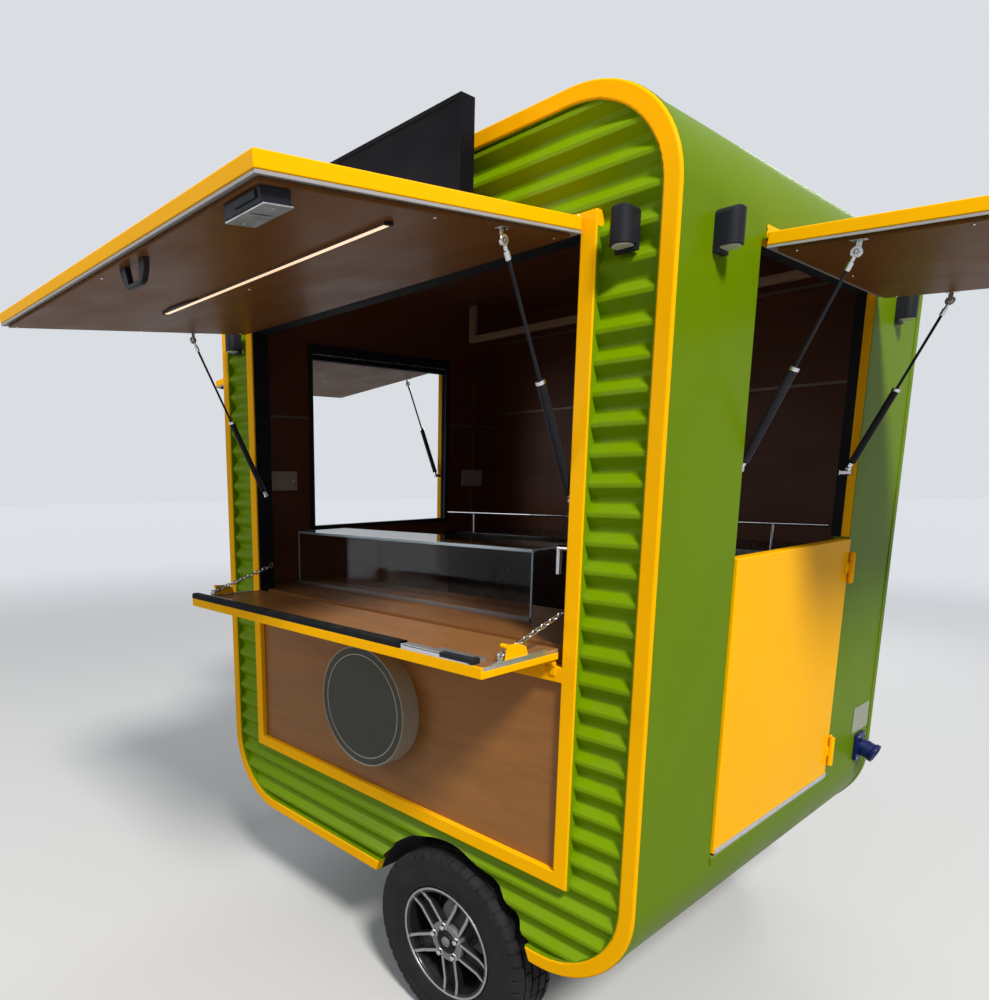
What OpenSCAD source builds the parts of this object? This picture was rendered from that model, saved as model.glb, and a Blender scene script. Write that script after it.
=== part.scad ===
// Street kiosk on two wheels: a rounded box with a corrugated serving face, a lift-up
// serving hatch over a fold-down counter, a half-door with its own hatch on one end
// and a hatched window on the other. Millimetres, Z up, ground at Z = 0, the serving
// face looks along -Y and the half-door is on the +X end.

/* [Body] */
// Length of the body along the serving face
body_l = 1800; // [1600:10:2400]
// Depth of the body from the serving face to the rear face
body_d = 1680; // [1560:10:2200]
// Height of the body shell
body_h = 2160; // [2120:10:2400]
// Height of the underside of the body over the ground
ground_gap = 395; // [370:5:440]
// Outer radius of the four long edges
corner_r = 270; // [200:5:270]
// Thickness of the sandwich walls and roof
wall_t = 45; // [35:1:60]
// Thickness of the brown inner lining
lining_t = 8; // [4:1:12]
// Thickness of the floor board
floor_t = 15; // [12:1:25]

/* [Faces] */
// Width of the yellow edge trim, seen from the front
trim_w = 38; // [30:1:50]
// Depth of the yellow edge trim
trim_d = 28; // [24:1:40]
// Edge radius at the front of the yellow edge trim
trim_round = 6; // [2:1:7]
// Distance that the trim stands out from the shell
trim_lip = 2; // [1:0.5:4]
// Thickness of the front and rear walls behind the cladding
face_t = 40; // [30:1:50]
// Pitch of the corrugated cladding
wave_pitch = 68; // [50:1:90]
// Height of the waves in the cladding
wave_h = 17; // [10:1:20]
// Width of the flat crests of the cladding
crest_w = 11; // [8:1:16]
// Width of the flat valleys of the cladding
valley_w = 14; // [8:1:20]
// Sheet thickness of the cladding
sheet_t = 1.5; // [1:0.1:3]
// Distance from the wave crests to the front of the trim
crest_in = 7; // [4:1:10]

/* [Serving opening] */
// Distance from the body's ends to the yellow serving frame
frame_side = 180; // [160:5:260]
// Width of the bars of the serving frame
frame_bar = 40; // [30:1:60]
// Height of the underside of the serving frame over the body's underside
frame_low = 260; // [240:5:300]
// Distance from the top of the body to the top of the serving frame
frame_drop = 270; // [250:5:310]
// Distance that the serving frame stands out from the trim
frame_out = 5; // [2:1:15]
// Height of the counter over the body's underside
counter_z = 896; // [860:1:920]
// Distance from the frame front to the brown lower panel
panel_in = 18; // [10:1:30]

/* [End openings] */
// Distance from the front of the body to the doorway and the window
end_front = 395; // [340:5:450]
// Width of the doorway and of the window
end_w = 830; // [700:5:850]
// Height of the doorway sill over the body's underside
sill_z = 293; // [290:1:320]
// Height of the top of the half-door opening over the body's underside
half_z = 1110; // [1050:5:1200]
// Distance from the top of the body to the top of the doorway and the window
end_drop = 305; // [300:5:340]
// Thickness of the rubber seals round the openings
seal_t = 3; // [2:0.5:3]
// Height of the black bar at the head of the window
window_head = 46; // [20:2:60]

/* [Hatches] */
// Thickness of the hatch panels
hatch_t = 36; // [30:1:45]
// Height of the bare metal lip under the yellow skin of a hatch
hatch_lip = 9; // [5:1:12]
// Height of the hinge leaf of an end hatch on the wall
hatch_leaf = 22; // [14:1:22]
// Length of the serving hatch from its hinge to its edge
serving_hatch_l = 862; // [700:1:900]
// Length of the two end hatches from their hinge to their edge
end_hatch_l = 738; // [600:1:800]
// Angle that the open hatches droop below level
hatch_droop = 4.6; // [0:0.1:10]
// Thickness of the brown lining under each hatch
hatch_lining_t = 6; // [3:1:8]
// Radius of the hatch hinge barrels
hatch_barrel_r = 7; // [5:0.5:9]
// Gap at each end of a hatch in its opening
hatch_side_gap = 6; // [4:1:10]
// Width of the bare rim round the lining of a hatch
hatch_rim = 16; // [10:1:30]
// Distance of the cup handle from the middle of the serving hatch
cup_x = 70; // [-100:10:300]
// Distance of the cup handle from the hatch's free edge
cup_in = 67; // [62:1:100]
// Distance of the hatch latch from the middle of the serving hatch
catch_x = 610; // [500:5:620]
// Length of the light strip under the serving hatch
light_l = 980; // [600:10:1000]
// Distance of the light strip's middle from the middle of the serving hatch
light_x = 130; // [0:10:150]
// Distance of the light strip from the hatch's free edge
light_in = 350; // [300:10:400]

/* [Gas struts] */
// Radius of the strut cylinders
strut_r = 10; // [8:0.5:12]
// Radius of the strut rods
strut_rod_r = 4.5; // [3:0.5:6]
// Share of the strut's length that is cylinder
strut_share = 0.55; // [0.45:0.01:0.6]
// Distance along a hatch from its face to the upper ball
strut_reach = 240; // [200:5:260]
// Distance along an end hatch from its face to the upper ball
end_strut_reach = 178; // [150:1:220]
// Drop from the hatch lining to the upper ball
strut_drop = 24; // [20:1:30]
// Distance from the serving hatch's hinge down to the lower balls of its struts
strut_fall = 623; // [560:1:660]
// Distance from an end hatch's hinge down to the lower balls of its struts
end_strut_fall = 542; // [500:1:580]

/* [Counter flap] */
// Depth of the flap from its hinge axis to its front edge
flap_d = 285; // [200:1:300]
// Thickness of the flap
flap_t = 27; // [22:1:40]
// Height of the yellow edging under the flap's bare metal edge
edging_h = 17; // [10:1:20]
// Gap at each end of the flap in the frame
flap_gap = 8; // [6:1:12]
// Radius of the flap's hinge barrels
flap_barrel_r = 8; // [6:0.5:10]
// Distance from the flap's front edge to the chain eyes
chain_in = 80; // [60:5:100]
// Height of the chain eyes on the jambs over the counter
chain_up = 90; // [60:5:120]
// Number of links in a chain, an odd number
chain_links = 15; // [11:2:19]
// Wire radius of the chain links
wire_r = 2; // [1.5:0.5:2.5]
// Thickness of the yellow edging of the flap
edging_t = 3; // [2:0.5:5]
// Height of the rubber seal on the flap
seal_h = 18; // [12:1:20]
// Width of the rubber seal on the flap
seal_w = 30; // [20:1:40]
// Length of the rubber seal on the flap
seal_l = 1082; // [900:2:1100]
// Length of the flap's latch bar
latch_l = 230; // [150:5:230]
// Width of the flap's latch bar
latch_w = 26; // [20:1:30]
// Height of the flap's latch bar and of the plates behind it
latch_h = 14; // [10:1:16]

/* [Half-door] */
// Thickness of the half-door
door_t = 40; // [30:1:45]
// Gap round the half-door
door_gap = 6; // [4:0.5:8]
// Distance that the half-door stands out from the end wall
door_out = 6; // [2:1:10]
// Height of one door hinge
hinge_h = 96; // [60:1:120]
// Radius of the door hinge barrel
hinge_r = 8; // [6:0.5:10]
// Radius of the hinge pins
pin_r = 4; // [3:0.5:5]
// Thickness of the hinge leaves
leaf_t = 4; // [2:0.5:5]
// Width of the hinge leaves from the pin
leaf_w = 36; // [25:1:45]
// Distance of the hinges from the ends of the half-door
hinge_in = 92; // [70:1:140]

/* [Wheels] */
// Radius of the tyres
tyre_r = 285; // [270:1:300]
// Width of the tyres
tyre_w = 175; // [150:1:190]
// Outer radius of the rim lip
rim_r = 172; // [160:1:185]
// Distance of the axle from the middle of the body towards the half-door
axle_x = 300; // [200:5:320]
// Distance that the tyre stands out from the front of the trim
tyre_out = 8; // [0:1:20]
// Radius of the wheel arches
arch_r = 332; // [315:1:335]
// Depth of the wheel arches from the face
arch_d = 225; // [200:1:260]
// Thickness of the wheel arch sheet
arch_t = 4; // [2:0.5:6]
// Half the distance between the bars of a double spoke
spoke_gap = 25; // [20:1:30]
// Width of one bar of a double spoke
spoke_w = 13; // [8:1:16]
// Number of double spokes in a rim
spokes = 5; // [4:1:7]
// Angle of the first spoke
spoke_turn = -8; // [-40:1:40]
// Depth of the grooves in the tread
groove_d = 7; // [4:1:9]
// Radius of the brake drums
drum_r = 105; // [90:5:110]
// Length of the brake drums
drum_l = 36; // [25:1:50]

/* [Chassis] */
// Width of the chassis box sections
rail_w = 50; // [40:1:60]
// Height of the chassis box sections
rail_h = 50; // [40:1:60]
// Distance from the axle to the middle cross member
cross_in = 260; // [200:5:300]
// Half the distance between the middles of the long rails
rail_y = 480; // [420:5:500]
// Distance from the body's end to the middle of the tow ball
tow_x = 640; // [550:5:640]
// Length of the coupling from the ball to the drawbar
coupling_l = 90; // [80:1:120]
// Length of the drawbar head behind the coupling
head_l = 200; // [150:5:250]
// Distance from the tow ball to the drawbar's prop stand
stand_in = 240; // [200:5:280]
// Radius of the foot of the prop stand
foot_r = 75; // [60:1:90]
// Radius of the tow ball socket
socket_r = 25.5; // [25:0.1:26]

/* [Inside] */
// Depth of the front counter board, from the wall lining
counter_d = 400; // [350:5:450]
// Thickness of the counter boards
board_t = 38; // [25:1:45]
// Depth of the rear counter board, from the wall lining
rear_d = 380; // [350:5:450]
// Height of the rear counter over the body's underside
rear_z = 1050; // [1000:5:1100]
// Thickness of the glass sheets
glass_t = 6; // [4:1:8]
// Height of the glass case
case_h = 212; // [150:2:250]
// Distance from the body's face to the glass case
case_in = 218; // [200:2:230]
// Depth of the glass case
case_d = 250; // [200:5:250]
// Distance from the middle of the counter to the left end of the glass case
case_left = 720; // [600:10:760]
// Distance from the middle of the counter to the right end of the glass case
case_right = 422; // [300:2:430]
// Height of the metal rail at the foot of the glass case
case_rail = 14; // [8:1:20]
// Distance of the tap from the middle of the counter
tap_x = 600; // [570:5:640]
// Distance from the body's face to the tap
tap_in = 240; // [220:5:300]
// Height of the tap over the counter
tap_h = 220; // [180:5:260]
// Reach of the tap's spout
tap_reach = 105; // [80:5:110]
// Height of the rail over the rear counter
rail_up = 94; // [60:2:120]
// Distance from the end linings to the outer posts of the rail
post_in = 180; // [100:10:300]
// Distance from the ceiling to the underside of the ceiling rack
rack_drop = 172; // [150:1:220]
// Distance from the end linings to the ceiling rack
rack_in = 137; // [130:1:220]
// Width of the bars of the ceiling rack
rack_bar = 28; // [20:1:35]
// Width of a socket plate
plate_w = 150; // [100:5:160]
// Height of a socket plate
plate_h = 80; // [60:5:100]
// Height of the socket plates over the rear counter
plate_up = 220; // [180:5:260]

/* [Signs and lamps] */
// Diameter of the round sign
round_sign_d = 395; // [300:5:410]
// Distance of the round sign's middle from the middle of the serving face
round_sign_x = -25; // [-100:5:100]
// Height of the round sign's middle over the body's underside
round_sign_z = 590; // [560:5:600]
// Distance that the round sign stands out from the serving frame
round_sign_out = 50; // [40:1:70]
// Length of the sign board over the hatch
board_sign_l = 860; // [700:10:900]
// Height of the sign board over the hatch
board_sign_h = 286; // [220:2:300]
// Thickness of the sign board
board_sign_t = 50; // [40:1:60]
// Distance from the face to the back of the sign board
board_sign_out = 77; // [60:1:90]
// Distance from the top of the serving frame up to the sign board
board_sign_up = 18; // [10:1:40]
// Distance from the ends of the sign board to its brackets
bracket_in = 130; // [80:5:200]
// Width of a wall lamp
lamp_w = 50; // [40:1:50]
// Height of a wall lamp
lamp_h = 90; // [75:1:110]
// Distance from the top of the serving frame down to the middle of the lamps
lamp_drop = 62; // [60:1:90]
// Distance from the faces to the lamps beside the doorway
lamp_in = 180; // [100:5:250]
// Distance that a wall lamp stands out
lamp_out = 52; // [52:1:80]

/* [Power inlet] */
// Distance from the rear of the body to the middle of the power inlet
inlet_in = 130; // [130:5:200]
// Height of the middle of the power inlet over the body's underside
inlet_z = 330; // [300:5:400]
// Width of the bare plate above the power inlet
inlet_plate_w = 160; // [120:5:160]

/* [Hidden] */
$fn = 48;

green = "#7fae18";
yellow = "#f5b716";
brown = "#5b3a26";
black = "#161616";
steel = "#b9bcc0";
grey = "#7d8084";

// Levels over the ground
base_z = ground_gap;
top_z = base_z + body_h;
floor_z = base_z + wall_t + floor_t;
frame_z0 = base_z + frame_low;
frame_z1 = top_z - frame_drop;
door_z0 = base_z + sill_z;
half_top = base_z + half_z;
open_top = top_z - end_drop;
counter_top = base_z + counter_z;

// The serving face and the body's own axes: Y = 0 is the middle of the body here
face_y = -body_d / 2;
end_x = body_l / 2;
wall_y0 = face_y + trim_d;
wall_y1 = wall_y0 + face_t;
inner_y = wall_y1 + lining_t;
inner_x = end_x - wall_t - lining_t;
frame_y = face_y - frame_out;
end_y0 = face_y + end_front;
end_y1 = end_y0 + end_w;
frame_half = end_x - frame_side;
open_half = frame_half - frame_bar;
slit = 0.05;
end_seal_w = 20;

// The open hatches: the hinge line is the upper rear edge of each panel
hatch_hinge_z = frame_z1 - hatch_barrel_r - 5;
end_hatch_hinge_z = open_top + hatch_barrel_r + 5;
hatch_off = hatch_barrel_r * 2;
end_ball_in = 34;
leaf_thin = 2;
cup_w = 124;
cup_deep = 84;
cup_t = 4;
bow_r = 5;
bow_up = 16;
catch_w = 80;
catch_d = 54;
catch_h = 20;
light_w = 22;
light_h = 6;
strut_tab = 8;
strut_block = 12;
collar_l = 10;
serving_hatch_half = open_half + 10;
end_hatch_half = end_w / 2 - hatch_side_gap;
// The origin lies under the middle of the whole: from the hatch's edge to the rear tyre
hatch_tip = frame_y - hatch_off - serving_hatch_l * cos(hatch_droop);
body_y = -(hatch_tip + body_d / 2 + tyre_out) / 2;

// Flap hinge axis
flap_axis_y = frame_y - flap_barrel_r - 1;
flap_z0 = counter_top - flap_t;
flap_axis_z = flap_z0 - flap_barrel_r - 2;
flap_half = open_half - flap_gap;
rail_top = flap_axis_z - 12;
board_z = counter_top - board_t;
swing_gap = 6;
flap_lap = 6;
knuckle_l = 15;
nose_y = flap_axis_y + norm([flap_t + flap_barrel_r + 2, flap_lap]) + swing_gap;

// Signs
drum_rim = 6;
board_rim = 12;
bracket_w = 30;
bracket_up = 60;

// Half-door and its hinge axis
door_x1 = end_x + door_out;
door_x0 = door_x1 - door_t;
door_y0 = end_y0 + door_gap;
door_y1 = end_y1 - door_gap;
door_low = door_z0 + door_gap;
door_high = half_top - door_gap;
hinge_x = door_x1 + hinge_r + 1;
hinge_y = end_y1 - door_gap / 2;

// The chassis stays under the flat part of the underbody
rail_x = end_x - corner_r + 10;
ball_x = -end_x - tow_x;
socket_wall = 12.5;
socket_l = 40;

// Wheels: heights along the axle are from the middle of the tyre, out to the side
wheel_y = face_y - tyre_out + tyre_w / 2;
bead_in = 14;
bead_r = rim_r - 12;
barrel_t = 8;
flange_t = 7;
side_r = rim_r + 20;
shoulder = 22;
stub_r = 18;
stub_in = 17.5;
hub_r = 62;
hub_in = 20;
bearing_r = 50;
face_z = tyre_w / 2 - 44;
face_t2 = 24;
cap_r = 30;
bolt_circle = 49;
bolt_r = 8;
drum_gap = 6;

module along_y(y0, y1) {
    translate([0, y1, 0]) rotate([90, 0, 0]) linear_extrude(y1 - y0) children();
}

module along_x(x0, x1) {
    translate([x0, 0, 0]) rotate([90, 0, 90]) linear_extrude(x1 - x0) children();
}

module box(x0, x1, y0, y1, z0, z1) {
    translate([x0, y0, z0]) cube([x1 - x0, y1 - y0, z1 - z0]);
}

module rounded(l, h, r) {
    square([l - 2 * r, h], center = true);
    square([l, h - 2 * r], center = true);
    for (i = [-1, 1], k = [-1, 1])
        translate([i * (l / 2 - r), k * (h / 2 - r)]) circle(r, $fn = 96);
}

// The body's outline seen from the front, drawn in by a distance
module outline(inset) {
    translate([0, base_z + body_h / 2])
        rounded(body_l - 2 * inset, body_h - 2 * inset, corner_r - inset);
}

module band(x0, x1, z0, z1) {
    translate([x0, z0]) square([x1 - x0, z1 - z0]);
}

module arch_circle(r) {
    translate([axle_x, tyre_r]) circle(r, $fn = 96);
}

// What the two wheel arches take out of the floor and the shell
module arch_cuts() {
    for (s = [0, 1]) mirror([0, s, 0])
        along_y(wall_y0 - 1, wall_y0 + arch_d) arch_circle(arch_r + slit);
}

module shell_ring() {
    difference() {
        outline(0);
        outline(wall_t);
    }
}

// Chassis and running gear
module chassis_frame() {
    color(grey) {
        for (s = [-1, 1])
            box(-rail_x, rail_x, s * rail_y - rail_w / 2, s * rail_y + rail_w / 2,
                base_z - rail_h, base_z);
        for (x = [-rail_x + rail_w / 2, axle_x - cross_in, rail_x - rail_w / 2])
            box(x - rail_w / 2, x + rail_w / 2, -rail_y + rail_w / 2, rail_y - rail_w / 2,
                base_z - rail_h, base_z);
    }
}

module axle() {
    beam = 60;
    beam_y = rail_y + rail_w / 2;
    color(grey) {
        box(axle_x - beam / 2, axle_x + beam / 2, -beam_y, beam_y,
            tyre_r - beam / 2, tyre_r + beam / 2);
        for (s = [-1, 1]) {
            box(axle_x - beam, axle_x + beam, s * rail_y - rail_w / 2, s * rail_y + rail_w / 2,
                tyre_r + beam / 2, base_z - rail_h);
            translate([axle_x, s * beam_y, tyre_r]) rotate([-90 * s, 0, 0]) {
                cylinder(r = stub_r, h = -wheel_y + stub_in - beam_y);
                translate([0, 0, -wheel_y - hub_in - drum_gap - drum_l - beam_y])
                    cylinder(r = drum_r, h = drum_l);
            }
        }
    }
}

module drawbar_arm(s) {
    tip = [ball_x + coupling_l + head_l / 3, s * rail_w / 2];
    root = [-rail_x, s * (rail_y - rail_w / 2)];
    translate([0, 0, base_z - rail_h]) linear_extrude(rail_h)
        polygon([tip, [tip[0], tip[1] + s * rail_w], [root[0], root[1]],
            [root[0], root[1] - s * rail_w]]);
}

module drawbar() {
    stand_x = ball_x + stand_in;
    head_x = ball_x + coupling_l;
    color(grey) {
        drawbar_arm(1);
        drawbar_arm(-1);
        box(head_x, head_x + head_l, -rail_w / 2, rail_w / 2, base_z - rail_h, base_z);
        translate([stand_x, 0, 0]) {
            cylinder(r = rail_w / 2 - 3, h = base_z - rail_h);
            cylinder(r = foot_r, h = 8);
        }
    }
}

module tow_coupling() {
    z0 = base_z - rail_h;
    color(steel) difference() {
        union() {
            translate([ball_x, 0, z0]) cylinder(r = socket_r + socket_wall, h = rail_h);
            box(ball_x, ball_x + coupling_l, -rail_w / 2 - 3, rail_w / 2 + 3, z0, base_z);
        }
        translate([ball_x, 0, z0 - 1]) cylinder(r = socket_r, h = socket_l + 1);
    }
}

// Tread with four grooves between rounded shoulders, and side walls down to the beads
module tyre(s) {
    half = tyre_w / 2;
    pitch = (tyre_w - 2 * shoulder) / 4;
    translate([axle_x, s * wheel_y * -1, tyre_r]) rotate([90, 0, 0]) color(black)
        rotate_extrude($fn = 96) difference() {
            union() {
                translate([bead_r, -half + bead_in]) square([side_r - bead_r, tyre_w - 2 * bead_in]);
                translate([side_r, -half]) square([tyre_r - side_r - shoulder, tyre_w]);
                translate([tyre_r - shoulder, -half + shoulder])
                    square([shoulder, tyre_w - 2 * shoulder]);
                for (k = [-1, 1])
                    translate([tyre_r - shoulder, k * (half - shoulder)]) circle(shoulder);
            }
            for (k = [-1.5 : 1.5])
                translate([tyre_r - groove_d, k * pitch - groove_d / 2]) square([groove_d + 1, groove_d]);
        }
}

// Two parallel bars from the hub to the rim barrel
module spoke_pair() {
    for (k = [-1, 1])
        translate([0, k * spoke_gap - spoke_w / 2]) square([bead_r - barrel_t / 2, spoke_w]);
}

// Section of the rim barrel, with its flanges over the tyre's beads
module barrel_section() {
    half = tyre_w / 2 - bead_in;
    translate([bead_r - barrel_t, -half - flange_t]) square([barrel_t, 2 * (half + flange_t)]);
    for (z = [-half - flange_t, half])
        translate([bead_r - barrel_t, z]) square([rim_r - bead_r + barrel_t, flange_t]);
}

module rim(s) {
    translate([axle_x, s * wheel_y * -1, tyre_r]) rotate([90 * -s, 0, 0]) color(steel)
        difference() {
            union() {
                rotate_extrude($fn = 96) barrel_section();
                translate([0, 0, face_z]) rotate(spoke_turn) {
                    linear_extrude(face_t2) {
                        circle(hub_r);
                        for (i = [0 : spokes - 1]) rotate(i * 360 / spokes) spoke_pair();
                    }
                    linear_extrude(face_t2 / 2) for (i = [0 : spokes - 1]) rotate(i * 360 / spokes)
                        translate([0, -spoke_gap]) square([bead_r - barrel_t / 2, 2 * spoke_gap]);
                    for (i = [0 : spokes - 1]) rotate((i + 0.5) * 360 / spokes)
                        translate([bolt_circle, 0, 1]) cylinder(r = bolt_r, h = face_t2 + 5);
                    translate([0, 0, 1]) cylinder(r = cap_r, h = face_t2 + 9);
                }
                translate([0, 0, -hub_in]) cylinder(r = bearing_r, h = hub_in + face_z + 1);
            }
            translate([0, 0, -hub_in - 10]) cylinder(r = stub_r + 0.05, h = hub_in + 40);
        }
}

module front_tyre() { tyre(-1); }
module rear_tyre() { tyre(1); }
module front_rim() { rim(-1); }
module rear_rim() { rim(1); }

module wheel_arches() {
    back = wall_y0 + arch_d;
    color(black) for (s = [0, 1]) mirror([0, s, 0]) intersection() {
        difference() {
            along_y(wall_y0, back) arch_circle(arch_r);
            along_y(wall_y0 - 1, back - arch_t) arch_circle(arch_r - arch_t);
        }
        box(-end_x, end_x, wall_y0, back, base_z, top_z);
    }
}

// Shell, walls and floor
module floor_board() {
    color(grey) difference() {
        along_y(wall_y1, -wall_y1) intersection() {
            outline(wall_t);
            band(-end_x, end_x, base_z, floor_z);
        }
        arch_cuts();
    }
}

module underbody_shell() {
    color(green) difference() {
        along_y(wall_y0, -wall_y0) intersection() {
            shell_ring();
            band(-end_x, end_x, base_z, door_z0);
        }
        arch_cuts();
    }
}

module roof_shell() {
    color(green) along_y(wall_y0, -wall_y0) intersection() {
        shell_ring();
        band(-end_x, end_x, open_top, top_z);
    }
}

module right_wall() {
    color(green) {
        box(end_x - wall_t, end_x, wall_y0, end_y0, door_z0, open_top);
        box(end_x - wall_t, end_x, end_y1, -wall_y0, door_z0, open_top);
    }
}

module left_wall() {
    color(green) difference() {
        box(-end_x, -end_x + wall_t, wall_y0, -wall_y0, door_z0, open_top);
        box(-end_x - 1, -end_x + wall_t + 1, end_y0, end_y1, half_top, open_top + 1);
    }
}

module front_wall_sides() {
    color(brown) along_y(wall_y0, wall_y1) difference() {
        intersection() {
            outline(wall_t);
            band(-end_x, end_x, base_z, top_z);
        }
        band(-open_half, open_half, 0, top_z);
        arch_circle(arch_r + slit);
    }
}

module front_wall_top() {
    color(brown) along_y(wall_y0, wall_y1) intersection() {
        outline(wall_t);
        band(-open_half, open_half, frame_z1 - frame_bar, top_z);
    }
}

module front_wall_bottom() {
    color(brown) along_y(wall_y0, wall_y1) difference() {
        intersection() {
            outline(wall_t);
            band(-open_half, open_half, base_z, frame_z0 + frame_bar);
        }
        arch_circle(arch_r + slit);
    }
}

module rear_wall() {
    color(brown) along_y(-wall_y1, -wall_y0) difference() {
        outline(wall_t);
        arch_circle(arch_r + slit);
    }
}

module interior_lining() {
    color(brown) difference() {
        along_y(wall_y1, -wall_y1) difference() {
            intersection() {
                outline(wall_t);
                band(-end_x, end_x, floor_z, top_z);
            }
            outline(wall_t + lining_t);
        }
        box(-end_x, -end_x + 2 * wall_t, end_y0, end_y1, half_top, open_top);
        box(end_x - 2 * wall_t, end_x, end_y0, end_y1, door_z0, open_top);
        arch_cuts();
    }
}

// Corrugated cladding: flat crests and valleys with straight slopes, trimmed to the outline
function wave_points() = [for (k = [0 : ceil(body_h / wave_pitch)], p = [
    [-crest_w / 2, 0], [crest_w / 2, 0],
    [(wave_pitch - valley_w) / 2, wave_h], [(wave_pitch + valley_w) / 2, wave_h]])
    [face_y + crest_in + p[1], base_z + k * wave_pitch + p[0]]];

module wave_sheet(reach) {
    front = wave_points();
    n = len(front);
    back = [for (i = [1 : n]) front[n - i] + [sheet_t, 0]];
    along_x(-reach, reach) polygon(concat(front, back));
}

module front_cladding() {
    color(green) intersection() {
        wave_sheet(end_x);
        along_y(face_y, wall_y0) difference() {
            outline(trim_w);
            band(-frame_half, frame_half, frame_z0, frame_z1);
            arch_circle(arch_r);
        }
    }
}

module rear_cladding() {
    color(green) mirror([0, 1, 0]) intersection() {
        wave_sheet(end_x);
        along_y(face_y, wall_y0) difference() {
            outline(trim_w);
            arch_circle(arch_r);
        }
    }
}

// Section of the trim: out from its inner edge, and forward from the shell
module trim_section() {
    w = trim_w + trim_lip;
    square([w, trim_d - trim_round]);
    translate([trim_round, trim_d - trim_round]) square([w - 2 * trim_round, trim_round]);
    for (x = [trim_round, w - trim_round])
        translate([x, trim_d - trim_round]) circle(trim_round);
}

// The section swept round one corner and along the straight before it
module trim_quarter(straight) {
    rotate_extrude(angle = 90, $fn = 96) translate([corner_r - trim_w, 0]) trim_section();
    translate([corner_r - trim_w, 0, 0]) rotate([90, 0, 0]) linear_extrude(straight) trim_section();
}

module edge_trims() {
    long = body_l - 2 * corner_r;
    high = body_h - 2 * corner_r;
    corners = [[1, 1, high], [-1, 1, long], [-1, -1, high], [1, -1, long]];
    color(yellow) for (s = [0, 1]) mirror([0, s, 0]) difference() {
        for (k = [0 : 3])
            translate([corners[k][0] * long / 2, wall_y0, base_z + body_h / 2 + corners[k][1] * high / 2])
                rotate([90, 0, 0]) rotate(k * 90) trim_quarter(corners[k][2]);
        along_y(face_y - 1, wall_y0 + 1) arch_circle(arch_r);
    }
}

// Serving opening
module serving_frame() {
    color(yellow) along_y(frame_y, wall_y0) {
        difference() {
            band(-frame_half, frame_half, frame_z0, frame_z1);
            band(-open_half, open_half, frame_z0 + frame_bar, frame_z1 - frame_bar);
        }
        band(-open_half, open_half, rail_top - frame_bar, rail_top);
    }
}

module lower_panel() {
    color("#8a5c2c") {
        box(-open_half, open_half, frame_y + panel_in, wall_y1,
            frame_z0 + frame_bar, rail_top - frame_bar);
        box(-open_half, open_half, wall_y0, wall_y1, frame_z0 + frame_bar, rail_top);
        box(-open_half, open_half, nose_y, wall_y1, frame_z0 + frame_bar, board_z);
    }
}

module round_sign() {
    depth = round_sign_out + panel_in;
    translate([round_sign_x, frame_y + panel_in, base_z + round_sign_z]) rotate([90, 0, 0])
        color(grey) difference() {
            cylinder(r = round_sign_d / 2, h = depth, $fn = 96);
            translate([0, 0, depth - drum_rim]) cylinder(r = round_sign_d / 2 - drum_rim, h = 7, $fn = 96);
        }
}

module round_sign_face() {
    translate([round_sign_x, frame_y - round_sign_out + drum_rim, base_z + round_sign_z])
        rotate([90, 0, 0]) color(black)
            cylinder(r = round_sign_d / 2 - drum_rim - 0.3, h = drum_rim - 2, $fn = 96);
}

module sign_board() {
    y1 = face_y - board_sign_out;
    z0 = frame_z1 + board_sign_up;
    color(black) {
        difference() {
            box(-board_sign_l / 2, board_sign_l / 2, y1 - board_sign_t, y1, z0, z0 + board_sign_h);
            box(-board_sign_l / 2 + board_rim, board_sign_l / 2 - board_rim, y1 - board_sign_t - 1,
                y1 - board_sign_t + 3, z0 + board_rim, z0 + board_sign_h - board_rim);
        }
        for (s = [-1, 1])
            translate([s * (board_sign_l / 2 - bracket_in), 0, 0])
                box(-bracket_w / 2, bracket_w / 2, y1, face_y + crest_in,
                    z0 + bracket_up, z0 + bracket_up + 10 + wave_pitch);
    }
}

// A hatch in its own frame: hinge line along X at the origin, panel reaching to -Y
module hatch_panel(half, l, leaf) {
    seam = hatch_t - hatch_lip;
    color(yellow) {
        rotate([hatch_droop, 0, 0]) box(-half, half, -l, hatch_barrel_r / 2, -seam, 0);
        translate([0, hatch_barrel_r, -hatch_barrel_r / 2]) rotate([0, 90, 0])
            cylinder(r = hatch_barrel_r, h = 2 * (half - hatch_rim), center = true);
        box(-half + hatch_rim, half - hatch_rim, hatch_off - leaf_thin, hatch_off,
            -hatch_barrel_r / 2, leaf);
    }
    color(steel) rotate([hatch_droop, 0, 0])
        box(-half + 1, half - 1, -l + 1, hatch_barrel_r / 2 - 1, -hatch_t, -seam);
}

module hatch_lining(half, l) {
    rotate([hatch_droop, 0, 0])
        box(-half + hatch_rim, half - hatch_rim, -l + hatch_rim, -hatch_rim,
            -hatch_t - hatch_lining_t, -hatch_t);
}

module at_serving_hinge() {
    translate([0, frame_y - hatch_off, hatch_hinge_z]) children();
}

module at_end_hinge(s) {
    translate([s * (end_x + hatch_off), (end_y0 + end_y1) / 2, end_hatch_hinge_z])
        rotate([0, 0, s * 90]) children();
}

module serving_hatch() {
    at_serving_hinge()
        hatch_panel(serving_hatch_half, serving_hatch_l, frame_z1 - hatch_hinge_z);
}

module side_hatch() {
    at_end_hinge(1) hatch_panel(end_hatch_half, end_hatch_l, hatch_leaf);
}

module window_hatch() {
    at_end_hinge(-1) hatch_panel(end_hatch_half, end_hatch_l, hatch_leaf);
}

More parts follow.
